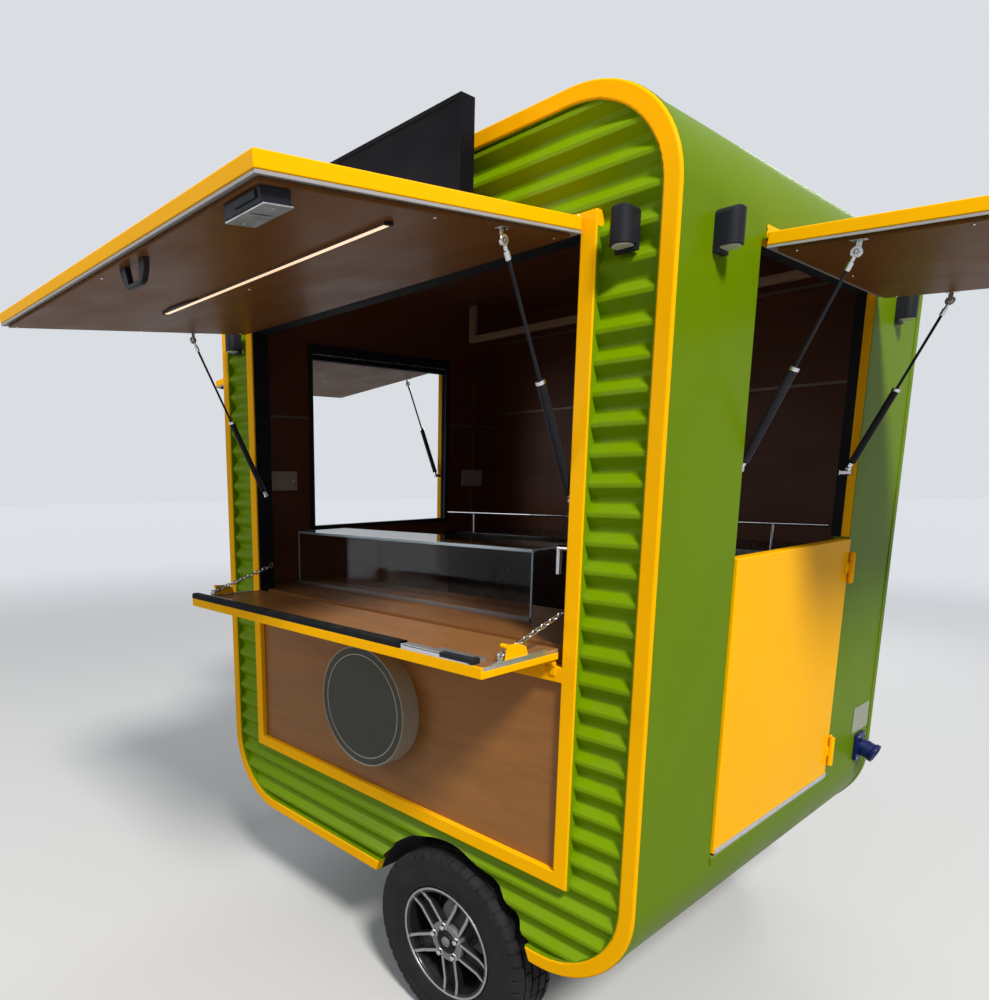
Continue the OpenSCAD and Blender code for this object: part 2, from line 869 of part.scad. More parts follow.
// Cup handle with its bow, latch and light strip, hanging from the level Z = 0
module hatch_fittings() {
    color(black) translate([cup_x, -serving_hatch_l + cup_in, -cup_t]) difference() {
        linear_extrude(cup_t) rounded(cup_w, cup_deep, cup_deep / 3);
        translate([0, 0, -1]) linear_extrude(cup_t - 0.5)
            rounded(cup_w - 20, cup_deep - 20, cup_deep / 4);
    }
    color(steel) translate([cup_x, -serving_hatch_l + cup_in, 0]) {
        for (s = [-1, 1]) translate([s * cup_w / 3.5, 0, -bow_up]) cylinder(r = bow_r - 1, h = bow_up - 1);
        translate([0, 0, -bow_up]) rotate([0, 90, 0])
            cylinder(r = bow_r, h = 2 * cup_w / 3, center = true);
    }
    color(black) box(catch_x - catch_w / 2, catch_x + catch_w / 2, -serving_hatch_l + hatch_rim + 15,
        -serving_hatch_l + hatch_rim + 15 + catch_d, -catch_h, 0);
    color(steel) box(catch_x - catch_w / 3, catch_x + catch_w / 3, -serving_hatch_l + hatch_rim,
        -serving_hatch_l + hatch_rim + 15, -catch_h * 0.6, -catch_h * 0.3);
    translate([light_x, -serving_hatch_l + light_in, -light_h]) {
        color(steel) difference() {
            box(-light_l / 2, light_l / 2, -light_w / 2, light_w / 2, 0, light_h);
            box(-light_l / 2 + 3, light_l / 2 - 3, -light_w / 2 + 3, light_w / 2 - 3, -1, 2);
        }
        color("white") box(-light_l / 2 + 3, light_l / 2 - 3, -light_w / 2 + 3, light_w / 2 - 3, 0.5, 2);
    }
}

module hatch_linings() {
    color(brown) {
        at_serving_hinge() hatch_lining(serving_hatch_half, serving_hatch_l);
        for (s = [-1, 1])
            at_end_hinge(s) hatch_lining(end_hatch_half, end_hatch_l);
    }
    at_serving_hinge() rotate([hatch_droop, 0, 0]) translate([0, 0, -hatch_t - hatch_lining_t])
        hatch_fittings();
}

// A rod and cylinder between two points in a plane of constant X
module strut(y0, z0, y1, z1) {
    l = norm([y1 - y0, z1 - z0]);
    a = atan2(z1 - z0, y1 - y0);
    translate([0, y0, z0]) rotate([a, 0, 0]) rotate([-90, 0, 0]) {
        cylinder(r = strut_r, h = l * strut_share);
        translate([0, 0, l * strut_share - collar_l]) cylinder(r = strut_r + 1.5, h = collar_l);
        cylinder(r = strut_rod_r, h = l);
        sphere(r = strut_r - 1);
        translate([0, 0, l]) sphere(r = strut_r - 2);
    }
}

// Two struts in a hatch's frame: reach along the hatch, lower balls on the jambs
module strut_pair(hatch_half, jamb, reach, low_y, low_z) {
    half = min(hatch_half - hatch_rim - 6, jamb - strut_r - 2);
    b = strut_block / 2;
    deep = hatch_t + hatch_lining_t + strut_drop;
    for (s = [-1, 1]) translate([s * half, 0, 0]) {
        strut(low_y, low_z, -reach * cos(hatch_droop) + deep * sin(hatch_droop),
            -reach * sin(hatch_droop) - deep * cos(hatch_droop));
        rotate([hatch_droop, 0, 0])
            box(-strut_tab / 2, strut_tab / 2, -reach - 2 * strut_tab, -reach + 2 * strut_tab,
                -deep, -deep + strut_drop);
        mirror([s > 0 ? 0 : 1, 0, 0]) box(0, jamb - half, low_y - b, low_y + b, low_z - b, low_z + b);
    }
}

module gas_struts() {
    color(black) {
        at_serving_hinge() strut_pair(serving_hatch_half, open_half - seal_t, strut_reach,
            hatch_off + end_ball_in, -strut_fall);
        for (s = [-1, 1]) at_end_hinge(s)
            strut_pair(end_hatch_half, end_w / 2, end_strut_reach,
                hatch_off + end_ball_in / 2, -end_strut_fall);
    }
}

// Rubber linings of the jambs and heads, and the black bar at the head of the window
module opening_seals() {
    head = frame_z1 - frame_bar;
    color(black) {
        along_y(face_y, wall_y1) difference() {
            band(-open_half, open_half, board_z, head);
            band(-open_half + seal_t, open_half - seal_t, board_z - 1, head - seal_t);
        }
        for (s = [0, 1]) mirror([s, 0, 0]) along_x(inner_x, end_x - wall_t + end_seal_w) difference() {
            translate([end_y0, half_top]) square([end_w, open_top - half_top]);
            translate([end_y0 + seal_t, half_top - 1])
                square([end_w - 2 * seal_t, open_top - half_top - seal_t + 1]);
        }
        box(-end_x + wall_t - end_seal_w, -inner_x, end_y0 + seal_t, end_y1 - seal_t,
            open_top - window_head, open_top - seal_t);
    }
}

// Half-door
module hinge_knuckle(x, y, z0, z1) {
    translate([x, y, z0]) difference() {
        cylinder(r = hinge_r, h = z1 - z0);
        translate([0, 0, -1]) cylinder(r = pin_r + 0.08, h = z1 - z0 + 2);
    }
}

module half_door() {
    third = hinge_h / 3;
    color(yellow) {
        box(door_x0, door_x1, door_y0, door_y1, door_low, door_high);
        for (z = [door_low + hinge_in, door_high - hinge_in]) {
            hinge_knuckle(hinge_x, hinge_y, z - third / 2 + 0.5, z + third / 2 - 0.5);
            box(door_x1, door_x1 + leaf_t, hinge_y - leaf_w, hinge_y - pin_r - 1,
                z - third / 2 + 0.5, z + third / 2 - 0.5);
        }
    }
}

module door_hinges() {
    third = hinge_h / 3;
    color(steel) for (z = [door_low + hinge_in, door_high - hinge_in]) {
        for (k = [-1, 1]) {
            z0 = z + k * third - third / 2;
            hinge_knuckle(hinge_x, hinge_y, z0, z0 + third);
            box(end_x, end_x + leaf_t, hinge_y + pin_r + 1, hinge_y + leaf_w, z0, z0 + third);
            box(end_x, hinge_x, hinge_y + pin_r + 1, hinge_y + hinge_r - 0.5, z0, z0 + third);
        }
        translate([hinge_x, hinge_y, z - hinge_h / 2 - 3]) cylinder(r = pin_r, h = hinge_h + 6);
    }
}

module door_sill() {
    color(steel) box(end_x, end_x + 3, end_y0, end_y1, door_z0 - 22, door_z0 - 2);
}

// Counter flap
module flap_knuckle(x0, x1) {
    translate([x0, flap_axis_y, flap_axis_z]) rotate([0, 90, 0]) difference() {
        cylinder(r = flap_barrel_r, h = x1 - x0);
        translate([0, 0, -1]) cylinder(r = pin_r + 0.08, h = x1 - x0 + 2);
    }
}

flap_hinge_x = [-flap_half + 2 * knuckle_l, 0, flap_half - 2 * knuckle_l];

module counter_flap() {
    front = flap_axis_y - flap_d;
    rear = flap_axis_y + flap_lap;
    edge_z = flap_z0 + edging_h;
    k = knuckle_l / 2 - 0.5;
    color(brown) {
        box(-flap_half + edging_t, flap_half - edging_t, front + edging_t, rear, flap_z0, counter_top);
        for (x = flap_hinge_x) {
            flap_knuckle(x - k, x + k);
            box(x - k, x + k, flap_axis_y - 20, flap_axis_y - pin_r - 1, flap_z0 - flap_lap, flap_z0);
        }
    }
    for (level = [[yellow, flap_z0, edge_z], [steel, edge_z, counter_top]]) color(level[0]) {
        box(-flap_half, flap_half, front, front + edging_t, level[1], level[2]);
        for (s = [0, 1]) mirror([s, 0, 0])
            box(flap_half - edging_t, flap_half, front + edging_t, rear, level[1], level[2]);
    }
}

module flap_hinges() {
    color(yellow) for (x = flap_hinge_x) {
        for (k = [-1, 1]) {
            x0 = x + k * knuckle_l - knuckle_l / 2;
            flap_knuckle(x0, x0 + knuckle_l);
            box(x0, x0 + knuckle_l, flap_axis_y + pin_r + 1, frame_y, flap_axis_z - 34, flap_axis_z);
        }
        translate([x, flap_axis_y, flap_axis_z]) rotate([0, 90, 0])
            cylinder(r = pin_r, h = 3 * knuckle_l + 3, center = true);
    }
}

module flap_seal() {
    front = flap_axis_y - flap_d;
    color(black) box(-flap_half, -flap_half + seal_l, front, front + seal_w,
        counter_top, counter_top + seal_h);
}

// The chains run from an eye on the flap up to an eye on the jamb
chain_x = flap_half - 12;
chain_y0 = flap_axis_y - flap_d + chain_in;
chain_z0 = counter_top + 14;
chain_y1 = wall_y0 + 12;
chain_z1 = counter_top + chain_up;
eye_r = 5;
eye_t = 5;
link_gap = 0.3;
link_r = wire_r + eye_t / 2 + 1;
chain_l = norm([chain_y1 - chain_y0, chain_z1 - chain_z0]);
eye_slack = sqrt(pow(link_r - wire_r - link_gap, 2) - pow(eye_t / 2, 2)) - (link_r - eye_r);
link_step = (chain_l - 2 * eye_slack - 2 * wire_r - link_gap) / chain_links;

module eye(up) {
    rotate([0, 90, 0]) difference() {
        union() {
            cylinder(r = eye_r + 4, h = eye_t, center = true);
            if (up > 0) translate([up / 2, 0, 0]) cube([up, 2 * eye_r + 8, eye_t], center = true);
        }
        cylinder(r = eye_r, h = eye_t + 2, center = true);
    }
}

// Latch bar beside the seal, a plate behind it on each side, end strips and chain eyes
module flap_latches() {
    front = flap_axis_y - flap_d;
    x0 = -flap_half + seal_l + 4;
    plate_y = front + seal_w + 8;
    color(steel) {
        box(x0, x0 + latch_l, front, front + latch_w, counter_top, counter_top + latch_h);
        for (s = [0, 1]) mirror([s, 0, 0]) {
            box(x0 + latch_l / 3, x0 + latch_l - 8, plate_y, plate_y + latch_w,
                counter_top, counter_top + latch_h / 2);
            box(flap_half - 8, flap_half, plate_y, flap_axis_y - 40, counter_top, counter_top + edging_t);
            translate([chain_x, chain_y0, chain_z0]) eye(chain_z0 - counter_top);
        }
    }
}

// One link along Y, lying flat, between the middles of its end bows
module chain_link(l) {
    s = l / 2 - link_r;
    for (k = [0, 1]) mirror([0, k, 0]) translate([0, s, 0])
        rotate_extrude(angle = 180) translate([link_r, 0]) circle(wire_r, $fn = 16);
    for (k = [-1, 1]) translate([k * link_r, -s, 0]) rotate([-90, 0, 0])
        cylinder(r = wire_r, h = 2 * s, $fn = 16);
}

module flap_chains() {
    bow = link_step + 2 * wire_r + link_gap;
    color(steel) for (s = [0, 1]) mirror([s, 0, 0]) {
        translate([chain_x, chain_y0, chain_z0])
            rotate([atan2(chain_z1 - chain_z0, chain_y1 - chain_y0), 0, 0])
                for (i = [0 : chain_links - 1])
                    translate([0, eye_slack + bow / 2 + i * link_step, 0])
                        rotate([0, i % 2 * 90, 0]) chain_link(bow);
        translate([chain_x, chain_y1, chain_z1]) eye(0);
        box(chain_x - eye_t / 2, open_half - seal_t, chain_y1 - 8, chain_y1 + 8,
            chain_z1 + eye_r + 2, chain_z1 + eye_r + 8);
    }
}

// Inside
module front_counter() {
    color(brown) {
        box(-flap_half, flap_half, nose_y, inner_y, board_z, counter_top);
        box(-inner_x, inner_x, wall_y1, wall_y1 + counter_d, board_z, counter_top);
    }
}

// Open at the back and below, with a metal rail at its foot
module glass_case() {
    x0 = -case_left;
    x1 = case_right;
    y0 = face_y + case_in;
    color("lightblue", 0.4) difference() {
        box(x0, x1, y0, y0 + case_d, counter_top, counter_top + case_h);
        box(x0 + glass_t, x1 - glass_t, y0 + glass_t, y0 + case_d + 1,
            counter_top - 1, counter_top + case_h - glass_t);
    }
    color(steel) box(x0, x1, y0 - 8, y0, counter_top, counter_top + case_rail);
}

// Pillar tap with a level arm and a hanging spout
module counter_tap() {
    r = 9;
    color(steel) translate([tap_x, face_y + tap_in, counter_top]) {
        cylinder(r = 2.6 * r, h = 6);
        cylinder(r = 1.3 * r, h = tap_h);
        translate([0, 0, tap_h]) {
            sphere(r = 1.3 * r);
            rotate([0, -90, 0]) cylinder(r = r, h = tap_reach);
            translate([0, 0, r]) box(-5, 45, -5, 5, 0, 5);
        }
        translate([-tap_reach, 0, tap_h]) {
            sphere(r = r);
            translate([0, 0, -tap_h / 3]) cylinder(r = r, h = tap_h / 3);
        }
    }
}

module rear_counter() {
    kick_in = 30;
    kick_t = 18;
    z1 = base_z + rear_z;
    y0 = -inner_y - rear_d;
    color(black) {
        box(-inner_x, inner_x, y0, -wall_y1, z1 - board_t, z1);
        along_y(y0 + kick_in, y0 + kick_in + kick_t) intersection() {
            outline(wall_t + lining_t);
            band(-inner_x, inner_x, floor_z, z1 - board_t);
        }
    }
}

module counter_rail() {
    z1 = base_z + rear_z;
    r = 6;
    y0 = -inner_y - rear_d + 2 * r;
    color(steel) {
        translate([0, y0, z1 + rail_up]) rotate([0, 90, 0])
            cylinder(r = r, h = 2 * (inner_x - 2 * r), center = true);
        for (x = [-inner_x + post_in, 0, inner_x - post_in])
            translate([x, y0, z1]) cylinder(r = r, h = rail_up);
    }
}

module ceiling_rack() {
    y0 = -inner_y - rear_d;
    z0 = top_z - wall_t - lining_t - rack_drop;
    x1 = inner_x - rack_in;
    color("#9a7a60") along_y(y0, y0 + rack_bar) intersection() {
        outline(wall_t + lining_t);
        difference() {
            band(-x1, x1, z0, top_z);
            band(-x1 + rack_bar, x1 - rack_bar, z0 + rack_bar, top_z);
        }
    }
}

// One plate on each side of the end window, in the middle of its strip of wall
module socket_plates() {
    z0 = base_z + rear_z + plate_up;
    color("#8d8378") for (y = [(wall_y1 + end_y0) / 2, (end_y1 - wall_y1) / 2])
        box(-inner_x, -inner_x + 10, y - plate_w / 2, y + plate_w / 2, z0, z0 + plate_h);
}

// Lamps and inlet
lamp_back = 12;
lamp_foot = 12;
lamp_brim = 4;
lens_t = 5;

module lamp_at(sx, face) {
    z = frame_z1 - lamp_drop;
    if (face) translate([sx * (frame_half + end_x - trim_w) / 2, face_y + crest_in, z]) children();
    else translate([end_x, face_y + lamp_in, z]) rotate([0, 0, 90]) children();
}

// A back plate that carries a shield with a round front and a small brim
module lamp() {
    r = lamp_w / 2;
    low = -lamp_h / 2 + lamp_foot;
    front = -lamp_out + r;
    box(-r, r, -lamp_back, 0, -lamp_h / 2, lamp_h / 2);
    for (part = [[0, lamp_h - lamp_foot - lamp_brim], [1.5, lamp_brim]])
        translate([0, 0, low + (part[0] > 0 ? lamp_h - lamp_foot - lamp_brim : 0)]) {
            translate([0, front, 0]) cylinder(r = r + part[0], h = part[1]);
            box(-r - part[0], r + part[0], front, -lamp_back, 0, part[1]);
        }
}

module wall_lamps() {
    color(black) {
        for (s = [-1, 1]) lamp_at(s, true) lamp();
        lamp_at(1, false) lamp();
        translate([0, end_y0 + end_y1, 0]) mirror([0, 1, 0]) lamp_at(1, false) lamp();
    }
}

module lens() {
    r = lamp_w / 2 - 5;
    translate([0, 0, -lamp_h / 2 + lamp_foot - lens_t]) intersection() {
        union() {
            translate([0, -lamp_out + lamp_w / 2, 0]) cylinder(r = r, h = lens_t);
            box(-r, r, -lamp_out + lamp_w / 2, -lamp_back, 0, lens_t);
        }
        box(-lamp_w, lamp_w, -lamp_out, -lamp_back, 0, lens_t);
    }
}

module lamp_lenses() {
    color("white") {
        for (s = [-1, 1]) lamp_at(s, true) lens();
        lamp_at(1, false) lens();
        translate([0, end_y0 + end_y1, 0]) mirror([0, 1, 0]) lamp_at(1, false) lens();
    }
}

// A blue inlet slanting down and out of its box, under a bare plate
module power_inlet() {
    y = -face_y - inlet_in;
    z = base_z + inlet_z;
    half_w = 42;
    half_h = 50;
    color("#1f4fae") {
        box(end_x, end_x + 12, y - half_w, y + half_w, z - half_h, z + half_h);
        translate([end_x + 12, y, z]) rotate([0, 110, 0]) {
            cylinder(r = 30, h = 52);
            translate([0, 0, 40]) cylinder(r = 34, h = 12);
        }
    }
    color(steel) box(end_x, end_x + leaf_thin, y - inlet_plate_w / 2, y + inlet_plate_w / 2,
        z + half_h + 8, z + half_h + 8 + inlet_plate_w * 0.6);
}

module placed() { translate([0, body_y, 0]) children(); }

placed() chassis_frame();
placed() axle();
placed() drawbar();
placed() tow_coupling();
placed() front_tyre();
placed() front_rim();
placed() rear_tyre();
placed() rear_rim();
placed() wheel_arches();
placed() floor_board();
placed() underbody_shell();
placed() roof_shell();
placed() right_wall();
placed() left_wall();
placed() front_wall_sides();
placed() front_wall_top();
placed() front_wall_bottom();
placed() rear_wall();
placed() front_cladding();
placed() rear_cladding();
placed() edge_trims();
placed() serving_frame();
placed() lower_panel();
placed() round_sign();
placed() round_sign_face();
placed() sign_board();
placed() serving_hatch();
placed() side_hatch();
placed() window_hatch();
placed() hatch_linings();
placed() gas_struts();
placed() opening_seals();
placed() half_door();
placed() door_hinges();
placed() door_sill();
placed() counter_flap();
placed() flap_seal();
placed() flap_latches();
placed() flap_hinges();
placed() flap_chains();
placed() front_counter();
placed() glass_case();
placed() counter_tap();
placed() rear_counter();
placed() counter_rail();
placed() ceiling_rack();
placed() socket_plates();
placed() wall_lamps();
placed() lamp_lenses();
placed() power_inlet();
placed() interior_lining();
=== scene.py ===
"""Street kiosk: the detailed pieces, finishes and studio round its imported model.

Metres, Z up, ground at Z = 0. The serving face looks along -Y and the half-door is on
the +X end. Every piece is modelled in place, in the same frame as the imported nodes.
"""

import math
from contextlib import contextmanager

import bmesh
import bpy
from bpy.props import FloatProperty, FloatVectorProperty, IntProperty, PointerProperty
from bpy.types import Operator, Panel, PropertyGroup
from mathutils import Matrix, Vector


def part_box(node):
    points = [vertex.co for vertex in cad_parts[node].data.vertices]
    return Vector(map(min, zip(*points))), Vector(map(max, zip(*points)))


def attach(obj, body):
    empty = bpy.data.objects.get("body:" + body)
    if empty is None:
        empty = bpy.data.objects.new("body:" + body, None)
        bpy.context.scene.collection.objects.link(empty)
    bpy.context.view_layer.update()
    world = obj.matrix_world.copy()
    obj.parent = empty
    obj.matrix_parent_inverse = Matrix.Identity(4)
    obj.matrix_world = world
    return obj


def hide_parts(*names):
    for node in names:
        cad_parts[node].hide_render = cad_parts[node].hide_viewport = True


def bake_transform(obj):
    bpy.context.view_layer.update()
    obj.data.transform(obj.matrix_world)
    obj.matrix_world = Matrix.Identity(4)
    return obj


bl_info = {
    "name": "Street Kiosk",
    "version": (1, 0, 0),
    "blender": (4, 5, 0),
    "location": "3D View > Sidebar > Kiosk",
    "description": "Builds the street kiosk's detailed pieces round its packed model",
    "category": "Object",
}

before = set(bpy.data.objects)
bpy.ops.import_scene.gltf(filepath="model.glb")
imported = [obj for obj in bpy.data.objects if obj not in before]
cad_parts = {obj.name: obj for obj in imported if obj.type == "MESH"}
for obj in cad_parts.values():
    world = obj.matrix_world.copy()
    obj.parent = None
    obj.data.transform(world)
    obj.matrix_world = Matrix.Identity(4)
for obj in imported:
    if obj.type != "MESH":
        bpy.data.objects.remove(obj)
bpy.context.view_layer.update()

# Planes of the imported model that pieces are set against
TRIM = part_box("edge_trims")
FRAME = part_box("serving_frame")
FACE_Y = TRIM[0].y
MID_Y = (TRIM[0].y + TRIM[1].y) / 2
END_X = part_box("right_wall")[1].x
BASE_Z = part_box("underbody_shell")[0].z
TOP_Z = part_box("roof_shell")[1].z
DOOR_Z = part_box("underbody_shell")[1].z
OPEN_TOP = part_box("roof_shell")[0].z
WALL_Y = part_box("roof_shell")[0].y
BACK_Y = 2 * MID_Y - WALL_Y
LINING_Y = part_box("front_wall_top")[1].y
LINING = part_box("interior_lining")
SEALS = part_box("opening_seals")
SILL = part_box("door_sill")
OPEN_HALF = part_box("front_wall_top")[1].x
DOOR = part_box("half_door")
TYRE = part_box("front_tyre")
AXLE_X = (TYRE[0].x + TYRE[1].x) / 2
TYRE_R = TYRE[1].z / 2
ARCH_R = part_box("wheel_arches")[1].z - TYRE_R
SEAL = 0.003  # thickness of the seals on the jambs
DOOR_GAP = 0.006  # round the half-door, and how far it stands out from the wall
WINDOW_Z = DOOR[1].z + DOOR_GAP
LINED_X = LINING[1].x - 0.008
HATCH_BOARD = 0.006  # how far a hatch's lining stands below its lip

# Tolerances of the modelling tools
MERGE = 1e-6
NODE_MERGE = 2e-5
FLAT = math.radians(0.4)
ALONG = 0.9  # least cosine between a face and the way that it looks
STRAIGHT = 0.99  # least cosine between an edge and the axis that it runs along

QUARTER_X = Matrix.Rotation(math.pi / 2, 4, "X")
QUARTER_Z = Matrix.Rotation(math.pi / 2, 4, "Z")


def length(label, words, default, low):
    """A length property in metres with its least value."""
    return FloatProperty(name=label, description=words, default=default, min=low, unit="LENGTH")


def angle(label, words, degrees):
    """An angle property with its default given in degrees."""
    return FloatProperty(name=label, description=words, default=math.radians(degrees),
                         subtype="ANGLE")


class KioskSizes(PropertyGroup):
    """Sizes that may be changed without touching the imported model"""
    corner: length("Corner Radius", "Outer radius of the body's long edges", 0.27, 0.05)
    wall: length("Wall", "Thickness of the body shell", 0.045, 0.01)
    arch_depth: length("Arch Depth", "Depth of the wheel arches behind the faces", 0.225, 0.1)
    trim_edge: length("Trim Edge", "Depth of the trims' sides that stays yellow", 0.009, 0.002)
    crease: length("Crease Rounding", "Rounding of the creases in the cladding", 0.0026, 0.0005)
    hatch_thick: length("Hatch Thickness", "Thickness of the hatch panels", 0.036, 0.02)
    hatch_lip: length("Hatch Lip", "Height of the bare metal lip under a hatch", 0.0065, 0.002)
    serving_reach: length("Serving Hatch Length", "From its hinge to its edge", 0.862, 0.3)
    end_reach: length("End Hatch Length", "From its hinge to its edge", 0.738, 0.3)
    droop: angle("Hatch Droop", "Angle of the open hatches below level", 4.6)
    flap_thick: length("Flap Thickness", "Thickness of the counter flap", 0.027, 0.02)
    flap_edging: length("Flap Edging", "Height of the flap's yellow edging", 0.017, 0.005)
    spokes: IntProperty(name="Spokes", description="Double spokes in a wheel", default=5, min=3)
    wheel_turn: angle("Wheel Turn", "Angle of the first spoke", -8)


def colour(label, words, values):
    """A colour property with its default given in screen values from 0 to 255."""
    linear = [((v / 255 + 0.055) / 1.055) ** 2.4 if v > 10 else v / 255 / 12.92 for v in values]
    return FloatVectorProperty(name=label, description=words, subtype="COLOR", size=3,
                               default=linear, min=0, max=1)


class KioskColours(PropertyGroup):
    """Colours of the kiosk's finishes"""
    lime: colour("Lime", "Paint of the body shell", (96, 124, 0))
    lime_sheet: colour("Lime Sheet", "Paint of the corrugated cladding", (110, 142, 0))
    yellow: colour("Yellow", "Paint of the hatches, frame and half-door", (250, 180, 0))
    trim: colour("Trim", "Paint of the edge trim", (240, 172, 0))
    panel: colour("Panel", "Laminate of the lower panel", (138, 92, 46))
    laminate: colour("Laminate", "Laminate of the hatch linings and the flap", (118, 76, 38))
    lining: colour("Lining", "Laminate inside the kiosk", (88, 46, 22))
    rack: colour("Rack", "Paint of the ceiling rack", (150, 118, 92))
    floor: colour("Floor", "Sheet of the kiosk's floor", (88, 88, 86))


def only(*pieces):
    """Leaves edit mode with these pieces alone selected, the first of them active."""
    if bpy.context.mode != "OBJECT":
        bpy.ops.object.mode_set(mode="OBJECT")
    bpy.ops.object.select_all(action="DESELECT")
    for piece in pieces:
        piece.select_set(True)
    if pieces:
        bpy.context.view_layer.objects.active = pieces[0]


def settle(piece, place=None):
    """Moves a piece by a matrix, then sets its place into its mesh."""
    only(piece)
    if place is not None:
        piece.matrix_world = place @ piece.matrix_world
    bpy.ops.object.transform_apply(location=True, rotation=True, scale=True)
    return piece


def named(name):
    """The primitive that was just added, under its own name."""
    piece = bpy.context.object
    piece.name = piece.data.name = name
    return settle(piece)


def slab(name, low, high):
    """A box between two corners."""
    only()
    low, high = Vector(low), Vector(high)
    bpy.ops.mesh.primitive_cube_add(size=1, location=(low + high) / 2, scale=high - low)
    return named(name)


def rod(name, start, end, radius, sides=32):
    """A round bar between two points."""
    only()
    start, end = Vector(start), Vector(end)
    along = end - start
    bpy.ops.mesh.primitive_cylinder_add(
        vertices=sides, radius=radius, depth=along.length, location=(start + end) / 2,
        rotation=along.to_track_quat("Z", "Y").to_euler())
    return named(name)


def ball(name, centre, radius):
    """A small round knob."""
    only()
    bpy.ops.mesh.primitive_uv_sphere_add(segments=24, ring_count=14, radius=radius,
                                         location=centre)
    return named(name)


def facing(centre, axis):
    """A matrix that puts the origin at a centre and turns +Z to an axis."""
    turn = Vector(axis).to_track_quat("Z", "Y").to_matrix().to_4x4()
    return Matrix.Translation(centre) @ turn


def outlined(points, fill="NOTHING"):
    """Starts a piece with a closed outline through points, edited with all of it selected."""
    only()
    bpy.ops.mesh.primitive_circle_add(vertices=len(points), fill_type=fill)
    for vertex, point in zip(bpy.context.object.data.vertices, points):
        vertex.co = point
    bpy.ops.object.mode_set(mode="EDIT")
    bpy.ops.mesh.select_all(action="SELECT")


def closed_up(name, place):
    """The mesh that is being edited with its faces turned out, named and put in place."""
    bpy.ops.mesh.select_all(action="SELECT")
    bpy.ops.mesh.normals_make_consistent(inside=False)
    bpy.ops.object.mode_set(mode="OBJECT")
    return settle(named(name), place)


def lathe(name, outline, place=None, steps=64):
    """A closed outline of (radius, height) pairs spun round Z and put in place."""
    outlined([(radius, 0, height) for radius, height in outline])
    bpy.ops.mesh.spin(steps=steps, angle=math.tau, center=(0, 0, 0), axis=(0, 0, 1))
    bpy.ops.mesh.select_all(action="SELECT")
    bpy.ops.mesh.remove_doubles(threshold=MERGE)
    bpy.ops.mesh.delete_loose()
    return closed_up(name, place)


def prism(name, outline, height, place=None):
    """A closed outline of (x, y) pairs filled, pulled up along Z and put in place."""
    outlined([(x, y, 0) for x, y in outline], "NGON")
    bpy.ops.mesh.extrude_region_move(TRANSFORM_OT_translate={"value": (0, 0, height)})
    return closed_up(name, place)


@contextmanager
def editing(piece):
    """Edit mode on a piece with its whole mesh selected."""
    only(piece)
    bpy.ops.object.mode_set(mode="EDIT")
    bpy.ops.mesh.select_all(action="SELECT")
    yield
    bpy.ops.object.mode_set(mode="OBJECT")


def pick(piece, kind, test, bend=None):
    """Edits a piece with the faces, edges or vertices selected whose place and normal pass.

    An edge is tested by its middle and direction, and by the bend between its faces
    where a range in degrees is given.
    """
    only(piece)
    bpy.ops.object.mode_set(mode="EDIT")
    bpy.ops.mesh.select_mode(type=kind)
    bpy.ops.mesh.select_all(action="DESELECT")
    mesh = bmesh.from_edit_mesh(piece.data)
    for item in {"FACE": mesh.faces, "EDGE": mesh.edges, "VERT": mesh.verts}[kind]:
        if kind == "FACE":
            chosen = test(item.calc_center_median(), item.normal)
        elif kind == "EDGE":
            ends = [v.co for v in item.verts]
            chosen = test((ends[0] + ends[1]) / 2, (ends[1] - ends[0]).normalized())
            if chosen and bend:
                chosen = bend[0] < math.degrees(item.calc_face_angle(0)) < bend[1]
        else:
            chosen = test(item.co, item.normal)
        item.select_set(bool(chosen))
    mesh.select_flush_mode()
    bmesh.update_edit_mesh(piece.data)


def inset(piece, way, *steps):
    """Insets the faces that look along a way, once for each pair of thickness and depth."""
    pick(piece, "FACE", lambda place, normal: normal.dot(Vector(way)) > ALONG)
    for thickness, depth in steps:
        bpy.ops.mesh.inset(thickness=thickness, depth=depth)
    bpy.ops.object.mode_set(mode="OBJECT")


def round_edges(piece, test, radius, segments, bend=None, **settings):
    """Rounds the edges whose middle and direction pass."""
    pick(piece, "EDGE", test, bend)
    bpy.ops.mesh.bevel(offset=radius, segments=segments, affect="EDGES", **settings)
    bpy.ops.object.mode_set(mode="OBJECT")


def modify(piece, kind, **settings):
    """Adds a modifier with its settings and applies it."""
    only(piece)
    modifier = piece.modifiers.new(kind.title(), kind)
    for setting, value in settings.items():
        setattr(modifier, setting, value)
    bpy.ops.object.modifier_apply(modifier=modifier.name)
    return piece


def cut(piece, *tools, operation="DIFFERENCE"):
    """Cuts a piece by tools, which are used up."""
    for tool in tools:
        modify(piece, "BOOLEAN", operation=operation, solver="EXACT", object=tool)
        bpy.data.objects.remove(tool)
    return piece


def smooth(piece, angle=35):
    """Shades a piece smooth, with its flat faces kept flat."""
    only(piece)
    bpy.ops.object.shade_smooth_by_angle(angle=math.radians(angle))
    return modify(piece, "WEIGHTED_NORMAL", keep_sharp=True)


def soften(piece, width, segments=2, angle=35):
    """Rounds the sharp edges of a piece and shades it smooth."""
    modify(piece, "BEVEL", width=width, segments=segments, limit_method="ANGLE",
           angle_limit=math.radians(angle))
    return smooth(piece, angle)


def block(name, low, high, width, segments=2):
    """A box between two corners with its edges rounded."""
    return soften(slab(name, low, high), width, segments)


def joined(name, pieces):
    """Several pieces made into one."""
    only(*pieces)
    if len(pieces) > 1:
        bpy.ops.object.join()
    pieces[0].name = pieces[0].data.name = name
    return pieces[0]


def joined_soft(name, pieces, width, segments=2):
    """Several pieces with their edges rounded, made into one."""
    return joined(name, [soften(piece, width, segments) for piece in pieces])


